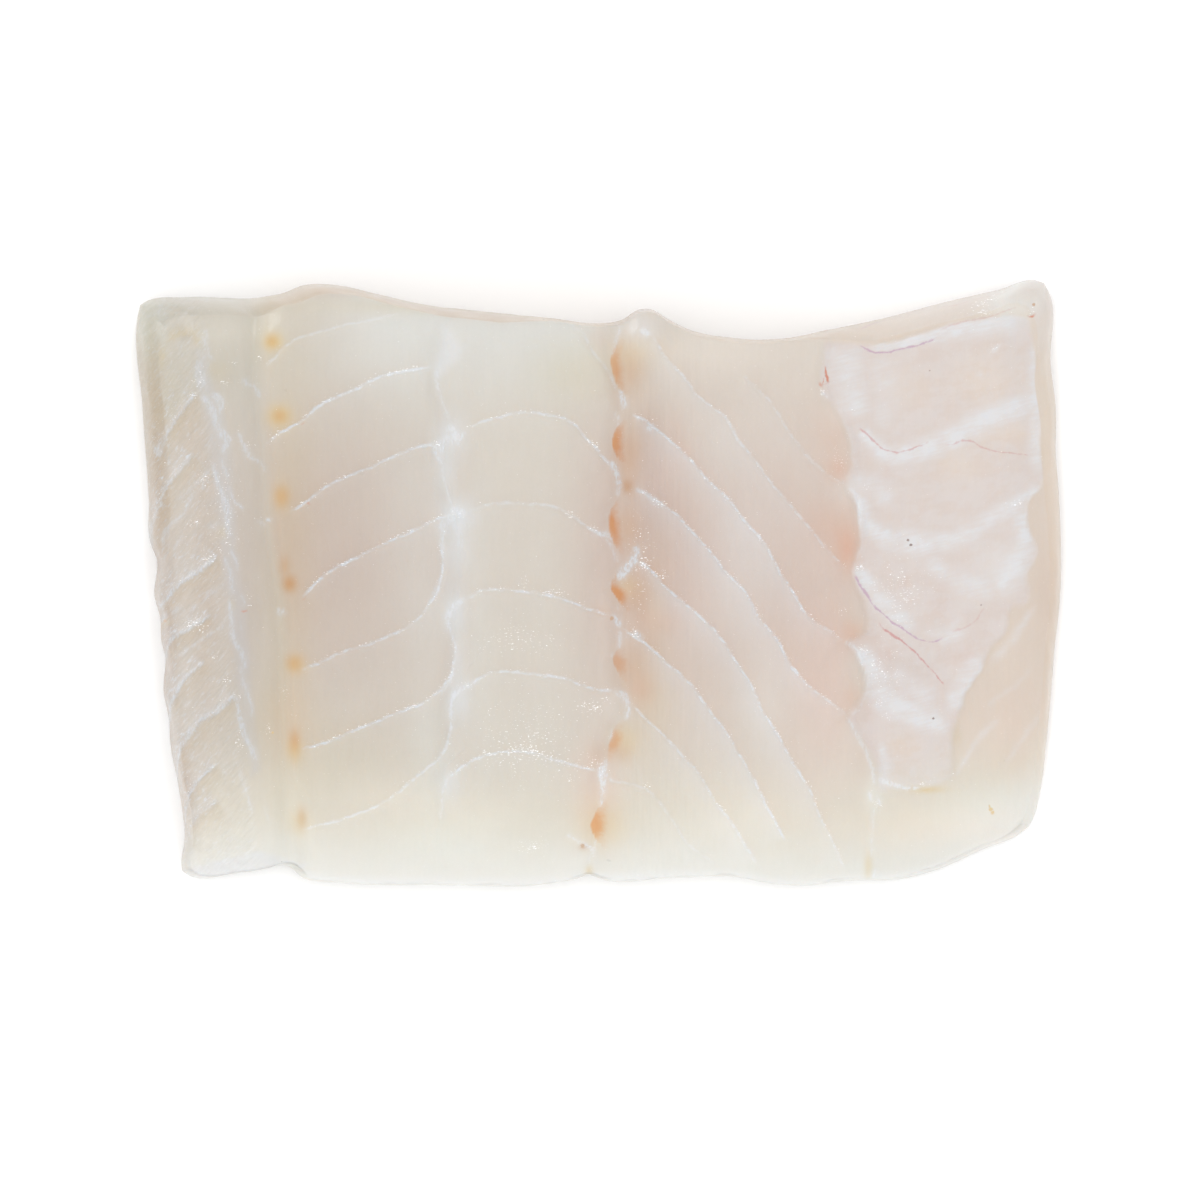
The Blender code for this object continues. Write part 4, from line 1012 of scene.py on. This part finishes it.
def cut_faces(tone, x, y, wall):
    """Brown at the back, partly painted shade, and paler at the belly. On the left they keep the tone of the
    flakes above them. Painted shade darkens them all, more towards the foot and at the back left corner.
    """
    sides = fringe_colour(plain(CUT_FACE_BACK, x.size), x, y, FRINGE_WALL_SOFTNESS)
    sides = mix(sides, CUT_FACE_RIGHT, past(x, *BELLY_FACE))
    sides = mix(sides, CUT_FACE_CORNER, past(x, *BELLY_CORNER) * past(y, *BELLY_CORNER_HEAD))
    sides = mix(sides, tone, FLAKY_WALL_SHARE * flaky_wall(x, y))
    corner = short_of(x, *LOIN_CORNER) * past(y, *LOIN_CORNER_HEAD)
    down = np.clip(wall, 0, 1)
    # painted shade, as much darker as the lamps make the faces lighter
    painted_shade = RIM_GLARE + FOOT_GLARE * down + corner * (CORNER_RIM_GLARE + CORNER_FOOT_GLARE * down)
    return painted_front_glow(sides - painted_shade[:, None], x, y)


def flaky_wall(x, y):
    """1 along the back of the fish below its head end, where the thin flakes reach the edge."""
    return short_of(x, *FLAKY_WALL) * short_of(y, *FLAKY_WALL_HEAD)


def to_albedo(tone):
    """Photo colour to the surface colour that shows it under the studio light."""
    share = np.clip(tone / 255, 0, 1)
    linear = np.where(share > 0.04045, ((share + 0.055) / 1.055) ** 2.4, share / 12.92)
    return np.clip((linear - GLOSS) / LIGHT_ON_FLESH, 0, 1)


def edged_spots(marks):
    """How far each point is off the middle of the nearest brown spot, 1 at its rim, and the spot's strength.

    A spot hangs on its left edge: it reaches further to the right of that line than to its left."""
    off_all = np.full(marks.x.shape, FAR)
    strength_all = np.zeros(marks.x.shape)
    for reach, strength, points in EDGED_SPOTS:
        line = traced(points, SPOT_STEP)
        gap, to_end, _ = nearest_on(line, marks.x, marks.y, SPOT_NEAR)
        half_length = np.sum(np.linalg.norm(np.diff(line, axis=0), axis=1)) / 2
        across = np.abs(gap) / np.where(gap > 0, SPOT_LEFT, reach * MM_PER_PIXEL)
        off = np.hypot(across, 1 - to_end / half_length)
        nearer = off < off_all
        off_all = np.where(nearer, off, off_all)
        strength_all = np.where(nearer, strength, strength_all)
    return off_all, strength_all


def glitter(marks):
    """Where painted glints show: in the places of the tables, along the seams and on the rough flesh."""
    spots = [blot(marks.x, marks.y, *place) for place in GLITTER]
    spots += [FAINT_STRENGTH * blot(marks.x, marks.y, *place) for place in FAINT_GLITTER]
    seams = [marks.lines[name] for name in ("seam_a", "seam_b")]
    along = [strength * trough(gap + GLITTER_ABOVE, GLITTER_REACH) for gap, _, strength in seams]
    total = np.max(spots, axis=0) + SEAM_GLITTER * np.max(along, axis=0) + ROUGH_GLITTER * marks.rough
    return np.clip(total, 0, 1)


def past_column(x, column, softness):
    """Rises smoothly from 0 to 1 to the right of a column of the photograph."""
    (start, _), = on_fish([(column, 0)])
    return past(x, start, softness)


def slanting_rows(x):
    """1 in the rows of slanting flakes beyond the third valley."""
    return past_column(x, *SLANTING_ROWS)


def seams_showing(x, y):
    """The white of the seams fades out towards the lobes by the lining and at the front edge."""
    row, softness = SEAMS_FRONT
    (_, front), = on_fish([(0, row)])
    to_front = smooth_step(front - y, softness)
    return (1 - LOBES_LOSS * past_column(x, *LOBES)) * (1 - FRONT_LOSS * to_front)


def fibre_strength(x):
    """The fibres show most beside the third valley."""
    more = past_column(x, *FIBRES_LEFT) * (1 - past_column(x, *FIBRES_RIGHT))
    return FIBRES_ALL + FIBRES_MORE * more


def keep_values(mesh, name, values):
    mesh.attributes.new(name, "FLOAT", "POINT").data.foreach_set("value", values.astype(np.float32))


def keep_colours(mesh, name, colours):
    rgba = np.column_stack([colours, np.ones(len(colours))]).astype(np.float32)
    mesh.attributes.new(name, "FLOAT_COLOR", "POINT").data.foreach_set("color", rgba.ravel())


def portion():
    points, looked_up, wall = portion_points()
    mesh = bpy.data.meshes.new("cod_flesh")
    mesh.from_pydata((points * MM).tolist(), [], portion_faces())
    mesh.shade_smooth()
    marks = Markings(*looked_up.T)
    keep_colours(mesh, "flesh_colour", to_albedo(paint(looked_up, wall, marks)))
    x, y = looked_up.T
    above, below, flaky = wall == 0, wall == UNDERSIDE, flaky_wall(x, y)
    on_face = FACE_MARKINGS + (1 - FACE_MARKINGS) * flaky
    faded = np.select([above, below], [1, UNDERSIDE_MARKINGS], on_face)
    spot_off, spot_strength = edged_spots(marks)
    values = {
        "spot_off": np.minimum(spot_off, 3), "spot_strength": spot_strength * above,
        "glitter": glitter(marks) * ~below, "fibres": fibre_strength(x), "slanting_rows": slanting_rows(x),
        "fringe": smooth_step(line_at(on_fish(FLAKES_END), y) - x, FLAKES_END_SOFTNESS),
        "lining": smooth_step(marks.lining, LINING_LOOK_SOFTNESS) * above, "veil": veils(marks) * above,
        "rough": marks.rough * (above | (flaky > 0.5)),
    }
    seams_left = seams_showing(x, y)
    for name, (gap, half, strength) in marks.lines.items():
        if name.startswith("seam"):
            strength = strength * seams_left
        values |= {name + "_gap": gap, name + "_half": half, name + "_strength": strength * faded}
    for name, numbers in values.items():
        keep_values(mesh, name, numbers)
    flesh = bpy.data.objects.new("cod_flesh", mesh)
    bpy.context.scene.collection.objects.link(flesh)
    return flesh


# ---- Material ------------------------------------------------------------------------------------


FRINGE_SLANT, VEIL_SLANT = 0.85, 0.25  # radians from straight across the fish
# white of a painted glint
GLINT_PAINT_WHITE = (0.93, 0.95, 0.97)
TISSUE_SHARES = (1.10, 1.12, 1.155)  # red, green and blue of white tissue, as shares of the flesh's red

# Patterns: size across the fish, along it and upwards in millimetres, then detail, roughness and slant.
LONG_FIBRES = ((0.5, 9, 4), 3, 0.6)
SLANTING_FIBRES = ((2.4, 0.42, 2.4), 4, 0.68, FRINGE_SLANT)
CROSS_STRANDS = ((5, 0.8, 4), 2)
MOTTLE, GRAIN = ((3.5, 5, 4), 3), ((0.35, 0.5, 0.5), 2)
WAVER, RAGGED_EDGE = ((0.7, 0.7, 0.7), 3, 0.6), ((0.3, 0.3, 0.3), 3, 0.7)
FLECKS = ((0.38, 0.16, 0.36), 2, 0.7)
FLOOR_MOTTLE = ((900, 900, 900), 1)

# Patches: a pattern, its values where a patch starts and where it is full, and what it comes to there.
FUZZ = (((1.4, 0.42, 1.4), 4, 0.7, FRINGE_SLANT), 0.50, 0.66)
TUFTS = (((3.2, 1.8, 3),), 0.38, 0.60, 0.35, 1.0)
STREAKS = (((0.35, 0.8, 0.5), 3, 0.65), 0.36, 0.60, 0.3, 1.0)
BREAKS = (((1.8, 1.0, 1.5), 3, 0.65), 0.38, 0.60, 0.25, 1.0)
CLUSTERS = (((2.5, 1.6, 2), 2), 0.30, 0.60, 0.55, 1.0)
CLOUDS = (((4, 2.2, 3), 4, 0.6, VEIL_SLANT), 0.30, 0.66, 0.7, 1.3)
STRANDS = (((3, 0.45, 3), 3, 0.65, VEIL_SLANT), 0.35, 0.65, 0.75, 1.15)

# Strength of the fibres on the fringe, how much stronger they are on its rough flesh, and on the lining.
FRINGE_FIBRES, ROUGH_FIBRES, LINING_FIBRES = 2.2, 1.2, 0.35
FUZZ_LEAST = 0.4  # how much of the white fuzz is left away from the rough flesh
# What they do to the brightness, as shares, and to the height, in millimetres.
FIBRE_TONE, MOTTLE_TONE, GRAIN_TONE = 0.12, 0.05, 0.04
FIBRE_RELIEF, GRAIN_RELIEF, SEAM_RELIEF, THREAD_RELIEF = 0.04, 0.02, -0.04, 0.04

# Seams, in millimetres: how far they waver, the change from above one to below it, how far its painted shade
# and its painted glow reach, and the distances where its white line starts and is full.
SEAM_WAVER, SEAM_CHANGE, SHADE_REACH, GLOW_REACH, SEAM_LINE = 0.3, 0.15, 1.5, 1.7, (0.36, 0.06)
# Strength of the painted shade and of the painted glow, in the straight rows and in the slanting ones.
SHADE_STRENGTH, GLOW_STRENGTH = (0.55, 1.0), (0.12, 0.48)
WHITE_POWER = 0.7  # below 1 it brings out the faint seams

# Threads and vessels, in millimetres: how far they waver, and how soft their edges are.
THREAD_WAVER, LINE_WAVER, SPOT_WAVER = 0.7, 0.6, 0.5
THREAD_EDGE, THREAD_HAZE_EDGE, VESSEL_EDGE = 0.28, 0.9, 0.12
THREAD_HAZE = 0.4  # strength of the haze around a thread
SPOT_EDGE = (1.35, 0.3)  # where a brown spot starts and is full, as a share of its half-size
SPECK_START, SPECK_FULL, SPECK_STRENGTH = 1.3, 0.5, 0.75  # the first two as shares of its half-size

# Veils: how white they are, how much haze the lining's cloudy places have, and where that starts and is full.
VEIL_WHITE, HAZE_WHITE, HAZE_CLOUDS = 1.15, 0.25, (0.75, 1.3)

# Painted glints: the pattern's value above which a fleck is painted white, how much lower that is where it
# glitters, the change from none to a full one, and its strength.
GLINT_LIMIT, GLITTER_LOWERS, GLINT_EDGE, GLINT_STRENGTH = 0.725, 0.16, 0.06, 0.85

ROUGHNESS, ROUGHNESS_VARIES = 0.34, 0.25  # of the surface, and how much the mottling changes it
GLOW_INSIDE, GLOW_IN_GLINTS = 0.4, 0.1  # share of the light that goes through the flesh, and in a glint
FLESH_SURFACE = {
    "IOR": 1.38, "Subsurface Radius": (1.0, 0.7, 0.5), "Subsurface Scale": 0.4 * MM,
    "Coat Weight": 0.35, "Coat Roughness": 0.12, "Coat IOR": 1.33,
}


class Nodes:
    """Short calls for the nodes of one material. An argument that isn't a socket is a fixed value."""

    def __init__(self, material):
        material.use_nodes = True
        self.tree = material.node_tree
        self.shader = self.tree.nodes["Principled BSDF"]

    def put(self, value, socket):
        if isinstance(value, bpy.types.NodeSocket):
            self.tree.links.new(value, socket)
        else:
            socket.default_value = value

    def math(self, operation, a, b=0.0, clamp=False):
        node = self.tree.nodes.new("ShaderNodeMath")
        node.operation, node.use_clamp = operation, clamp
        self.put(a, node.inputs[0])
        self.put(b, node.inputs[1])
        return node.outputs[0]

    def value(self, name):
        node = self.tree.nodes.new("ShaderNodeAttribute")
        node.attribute_name = name
        return node.outputs["Fac"]

    def colour(self, name):
        node = self.tree.nodes.new("ShaderNodeAttribute")
        node.attribute_name = name
        return node.outputs["Color"]

    def place(self):
        return self.tree.nodes.new("ShaderNodeTexCoord").outputs["Object"]

    def stretched(self, scale, turn=0.0):
        """Object position in units of `scale` millimetres, for a pattern that is longer one way."""
        node = self.tree.nodes.new("ShaderNodeMapping")
        node.vector_type = "TEXTURE"
        node.inputs["Scale"].default_value = [s * MM for s in scale]
        node.inputs["Rotation"].default_value = (0, 0, turn)
        self.put(self.place(), node.inputs["Vector"])
        return node.outputs["Vector"]

    def noise(self, scale, detail=2.0, roughness=0.5, turn=0.0):
        node = self.tree.nodes.new("ShaderNodeTexNoise")
        node.inputs["Scale"].default_value = 1.0
        node.inputs["Detail"].default_value = detail
        node.inputs["Roughness"].default_value = roughness
        self.put(self.stretched(scale, turn), node.inputs["Vector"])
        return node.outputs["Fac"]

    def centred(self, pattern):
        """The pattern around 0."""
        return self.math("SUBTRACT", self.noise(*pattern), 0.5)

    def patches(self, pattern, *limits):
        return self.between(self.noise(*pattern), *limits)

    def between(self, value, low, high, out_low=0.0, out_high=1.0):
        """Smooth step of a value from one limit to the other."""
        node = self.tree.nodes.new("ShaderNodeMapRange")
        node.interpolation_type = "SMOOTHSTEP"
        names = ("Value", "From Min", "From Max", "To Min", "To Max")
        for name, number in zip(names, (value, low, high, out_low, out_high)):
            self.put(number, node.inputs[name])
        return node.outputs[0]

    def times(self, *factors):
        product = factors[0]
        for factor in factors[1:]:
            product = self.math("MULTIPLY", product, factor)
        return product

    def plus(self, *terms):
        total = terms[0]
        for term in terms[1:]:
            total = self.math("ADD", total, term)
        return total

    def largest(self, *values):
        most = values[0]
        for value in values[1:]:
            most = self.math("MAXIMUM", most, value)
        return most

    def fading(self, distance, reach):
        """1 at no distance, falling off with it."""
        return self.math("EXPONENT", self.math("DIVIDE", self.math("MULTIPLY", distance, -1.0), reach))

    def blend(self, share, under, over, kind="MIX"):
        node = self.tree.nodes.new("ShaderNodeMix")
        node.data_type, node.blend_type = "RGBA", kind
        self.put(share, node.inputs[0])
        self.put(under, node.inputs[6])
        self.put(over, node.inputs[7])
        return node.outputs[2]

    def grey(self, value):
        node = self.tree.nodes.new("ShaderNodeCombineColor")
        for socket in node.inputs[:3]:
            self.put(value, socket)
        return node.outputs[0]


def photo_colour(tone):
    return (*to_albedo(np.array(tone, float)), 1.0)


def texture(nodes, colour):
    """Fine fibres along the fish, slanting ones on the fringe, and a faint mottling."""
    fringe, rough = nodes.value("fringe"), nodes.value("rough")
    off_fringe = nodes.math("SUBTRACT", 1.0, fringe)
    on_rough = nodes.plus(FRINGE_FIBRES, nodes.times(rough, ROUGH_FIBRES))
    fibres = nodes.plus(
        nodes.times(nodes.centred(LONG_FIBRES), nodes.value("fibres"), off_fringe),
        nodes.times(nodes.centred(SLANTING_FIBRES), fringe, on_rough),
        nodes.times(nodes.centred(CROSS_STRANDS), nodes.value("lining"), LINING_FIBRES))
    mottle, grain = nodes.centred(MOTTLE), nodes.centred(GRAIN)
    parts = ((fibres, FIBRE_TONE), (mottle, MOTTLE_TONE), (grain, GRAIN_TONE))
    brightness = nodes.plus(1.0, *(nodes.times(*part) for part in parts))
    colour = nodes.blend(1.0, colour, nodes.grey(brightness), "MULTIPLY")
    fuzz = nodes.times(nodes.patches(*FUZZ), nodes.patches(*TUFTS), fringe, nodes.plus(FUZZ_LEAST, rough))
    return nodes.blend(fuzz, colour, whitened(nodes, colour)), fibres, mottle, grain


def whitened(nodes, colour):
    """The same brightness without the flesh's warm tone: how thin white tissue looks over it."""
    split = nodes.tree.nodes.new("ShaderNodeSeparateColor")
    nodes.put(colour, split.inputs[0])
    red = split.outputs[0]
    join = nodes.tree.nodes.new("ShaderNodeCombineColor")
    for share, socket in zip(TISSUE_SHARES, join.inputs):
        nodes.put(nodes.math("MULTIPLY", red, share), socket)
    return join.outputs[0]


def seam(nodes, colour, waver, broken, name):
    """A broken white seam with a painted warm shade above it, and a painted pale glow below it in the
    slanting rows.
    """
    gap = nodes.plus(nodes.value(name + "_gap"), nodes.times(waver, SEAM_WAVER))
    away = nodes.math("ABSOLUTE", gap)
    white = nodes.value(name + "_strength")
    slanting = nodes.value("slanting_rows")
    below = nodes.between(gap, -SEAM_CHANGE, SEAM_CHANGE)
    above = nodes.math("SUBTRACT", 1.0, below)
    shade_here = nodes.between(slanting, 0, 1, *SHADE_STRENGTH)
    glow_here = nodes.between(slanting, 0, 1, *GLOW_STRENGTH)
    shade = nodes.times(nodes.fading(away, SHADE_REACH), above, white, shade_here)
    glow = nodes.times(nodes.fading(away, GLOW_REACH), below, white, glow_here)
    # painted shade above the seam; the painted glow below it comes next
    colour = nodes.blend(shade, colour, (*FLAKE_SHADE, 1.0), "MULTIPLY")
    line = nodes.times(nodes.between(away, *SEAM_LINE), nodes.math("POWER", white, WHITE_POWER), broken)
    pale = nodes.math("MAXIMUM", glow, line)
    return nodes.blend(pale, colour, whitened(nodes, colour)), line


def drawn_line(nodes, waver, name, softness):
    """Where a line of uneven width runs, such as a thread of white tissue or a vessel."""
    gap = nodes.plus(nodes.math("ABSOLUTE", nodes.value(name + "_gap")), nodes.times(waver, LINE_WAVER))
    inside = nodes.math("SUBTRACT", nodes.value(name + "_half"), gap)
    return nodes.times(nodes.between(inside, -softness, softness), nodes.value(name + "_strength"))


def threads(nodes, waver):
    """White threads with ragged edges and streaks, in a faint haze of their own."""
    ragged = nodes.plus(nodes.times(waver, THREAD_WAVER), nodes.centred(RAGGED_EDGE))
    streaky = nodes.patches(*STREAKS)
    names = ("tissue_a", "tissue_b", "rim", "edge")
    cores = [nodes.times(drawn_line(nodes, ragged, name, THREAD_EDGE), streaky) for name in names]
    haze = nodes.largest(*(drawn_line(nodes, ragged, name, THREAD_HAZE_EDGE) for name in names))
    return nodes.largest(*cores, nodes.times(haze, THREAD_HAZE))


def brown_spots(nodes, colour, waver):
    """Brown-orange spots in the third valley."""
    off = nodes.plus(nodes.value("spot_off"), nodes.times(waver, SPOT_WAVER))
    mask = nodes.times(nodes.between(off, *SPOT_EDGE), nodes.value("spot_strength"))
    return nodes.blend(mask, colour, (*SPOT_STAIN, 1.0), "MULTIPLY")


def painted_glints(nodes, colour):
    """Tiny wet glints, painted white into the colour: many where the glitter is strong, a few all over."""
    wet = nodes.times(nodes.value("glitter"), nodes.patches(*CLUSTERS))
    limit = nodes.math("SUBTRACT", GLINT_LIMIT, nodes.times(wet, GLITTER_LOWERS))
    mask = nodes.between(nodes.math("SUBTRACT", nodes.noise(*FLECKS), limit), 0.0, GLINT_EDGE)
    return nodes.blend(nodes.times(mask, GLINT_STRENGTH), colour, (*GLINT_PAINT_WHITE, 1.0)), mask


def lining_veils(nodes, colour):
    """Uneven white veils in the lining of the belly."""
    cloudy = nodes.patches(*CLOUDS)
    veil = nodes.times(nodes.value("veil"), cloudy, nodes.patches(*STRANDS), VEIL_WHITE)
    haze = nodes.times(nodes.value("lining"), nodes.between(cloudy, *HAZE_CLOUDS), HAZE_WHITE)
    return nodes.blend(nodes.largest(veil, haze), colour, photo_colour(LINING_WHITE))


def flesh_material():
    material = bpy.data.materials.new("raw_cod_flesh")
    nodes = Nodes(material)
    colour, fibres, mottle, grain = texture(nodes, nodes.colour("flesh_colour"))
    waver, broken = nodes.centred(WAVER), nodes.patches(*BREAKS)
    colour = lining_veils(nodes, colour)
    colour = brown_spots(nodes, colour, waver)
    colour, seam_a = seam(nodes, colour, waver, broken, "seam_a")
    colour, seam_b = seam(nodes, colour, waver, broken, "seam_b")
    white = threads(nodes, waver)
    colour = nodes.blend(white, colour, whitened(nodes, colour))
    for name, tone in (("violet", VIOLET_TONE), ("red", RED_TONE), ("blood", BLOOD_TONE)):
        colour = nodes.blend(drawn_line(nodes, waver, name, VESSEL_EDGE), colour, photo_colour(tone))
    colour = specks(nodes, colour, waver)
    colour, sparkle = painted_glints(nodes, colour)

    shader = nodes.shader
    nodes.put(colour, shader.inputs["Base Color"])
    roughness = nodes.plus(ROUGHNESS, nodes.times(mottle, ROUGHNESS_VARIES))
    nodes.put(roughness, shader.inputs["Roughness"])
    inner_glow = nodes.between(sparkle, 0.5, 1, GLOW_INSIDE, GLOW_IN_GLINTS)
    nodes.put(inner_glow, shader.inputs["Subsurface Weight"])
    for name, value in FLESH_SURFACE.items():
        nodes.put(value, shader.inputs[name])

    height = nodes.plus(
        nodes.times(fibres, FIBRE_RELIEF), nodes.times(grain, GRAIN_RELIEF),
        nodes.times(nodes.plus(seam_a, seam_b), SEAM_RELIEF), nodes.times(white, THREAD_RELIEF))
    bump = nodes.tree.nodes.new("ShaderNodeBump")
    bump.inputs["Strength"].default_value = 1.0
    bump.inputs["Distance"].default_value = MM
    nodes.put(height, bump.inputs["Height"])
    nodes.put(bump.outputs[0], shader.inputs["Normal"])
    return material


def specks(nodes, colour, waver):
    """Small specks of blood and fat."""
    flat = nodes.tree.nodes.new("ShaderNodeVectorMath")
    flat.operation = "MULTIPLY"
    flat.inputs[1].default_value = (1 / MM, 1 / MM, 0)
    nodes.put(nodes.place(), flat.inputs[0])
    for tone, places in SPECKS:
        for x, y, half in on_fish(places):
            node = nodes.tree.nodes.new("ShaderNodeVectorMath")
            node.operation = "DISTANCE"
            nodes.put(flat.outputs[0], node.inputs[0])
            node.inputs[1].default_value = (x, y, 0)
            away = nodes.plus(node.outputs["Value"], nodes.times(waver, LINE_WAVER))
            mask = nodes.between(away, half * SPECK_START, half * SPECK_FULL, 0, SPECK_STRENGTH)
            colour = nodes.blend(mask, colour, photo_colour(tone))
    return colour


# ---- Studio --------------------------------------------------------------------------------------

PHOTO_SIZE = 1200  # pixels, both ways
CAMERA_HEIGHT, FAR_CLIP = 4.0, 20  # metres
SENSOR_WIDTH = 36
FLOOR_SIZE, FLOOR_GAP = 12.0, 0.0002  # metres
FLOOR_TONES = (0.93, 0.93, 0.93, 1), (0.95, 0.95, 0.95, 1)
AIR_BRIGHTNESS = 1.2
# Round lights: place and size in metres, power, and whether wet surfaces mirror it.
SOFTBOXES = {
    "front_softbox": ((-0.3, -1.6, 1.5), 0.5, 9, False),
    "rear_softbox": ((0.4, 1.4, 1.9), 0.6, 8, False),
    "low_softbox": ((-2.2, 1.6, 1.1), 1.0, 12, True),
}


def floor():
    bpy.ops.mesh.primitive_plane_add(size=FLOOR_SIZE, location=(0, 0, -FLOOR_GAP))
    plane = bpy.context.object
    plane.name = "studio_floor"
    material = bpy.data.materials.new("pale_floor")
    nodes = Nodes(material)
    nodes.put(nodes.blend(nodes.noise(*FLOOR_MOTTLE), *FLOOR_TONES), nodes.shader.inputs["Base Color"])
    nodes.shader.inputs["Roughness"].default_value = 0.9
    nodes.shader.inputs["Specular IOR Level"].default_value = 0.0
    plane.data.materials.append(material)


def softbox(name, place, size, power, mirrored):
    """A round light that faces the portion. Only a mirrored one shows as a highlight on wet surfaces."""
    light = bpy.data.lights.new(name, "AREA")
    light.shape, light.size, light.energy = "DISK", size, power
    lamp = bpy.data.objects.new(name, light)
    lamp.visible_glossy = mirrored
    lamp.location = place
    lamp.rotation_mode = "QUATERNION"
    lamp.rotation_quaternion = lamp.location.to_track_quat("Z", "Y")
    bpy.context.scene.collection.objects.link(lamp)


def studio():
    world = bpy.data.worlds.new("studio_air")
    world.use_nodes = True
    air = world.node_tree.nodes["Background"]
    air.inputs["Color"].default_value = (1, 1, 1, 1)
    air.inputs["Strength"].default_value = AIR_BRIGHTNESS
    bpy.context.scene.world = world
    for name, light in SOFTBOXES.items():
        softbox(name, *light)
    floor()
    bpy.context.scene.view_settings.view_transform = "Standard"


def camera():
    data = bpy.data.cameras.new("camera")
    eye = bpy.data.objects.new("camera", data)
    (x, y), = on_fish([(PHOTO_SIZE / 2, PHOTO_SIZE / 2)])
    eye.location = (x * MM, y * MM, CAMERA_HEIGHT)
    data.sensor_width = SENSOR_WIDTH
    data.lens = SENSOR_WIDTH * CAMERA_HEIGHT / (PHOTO_SIZE * MM_PER_PIXEL * MM)
    data.clip_end = FAR_CLIP
    bpy.context.scene.collection.objects.link(eye)
    bpy.context.scene.camera = eye


flesh = portion()
flesh.data.materials.append(flesh_material())
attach(flesh, "root")
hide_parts("cod_portion")
studio()
camera()
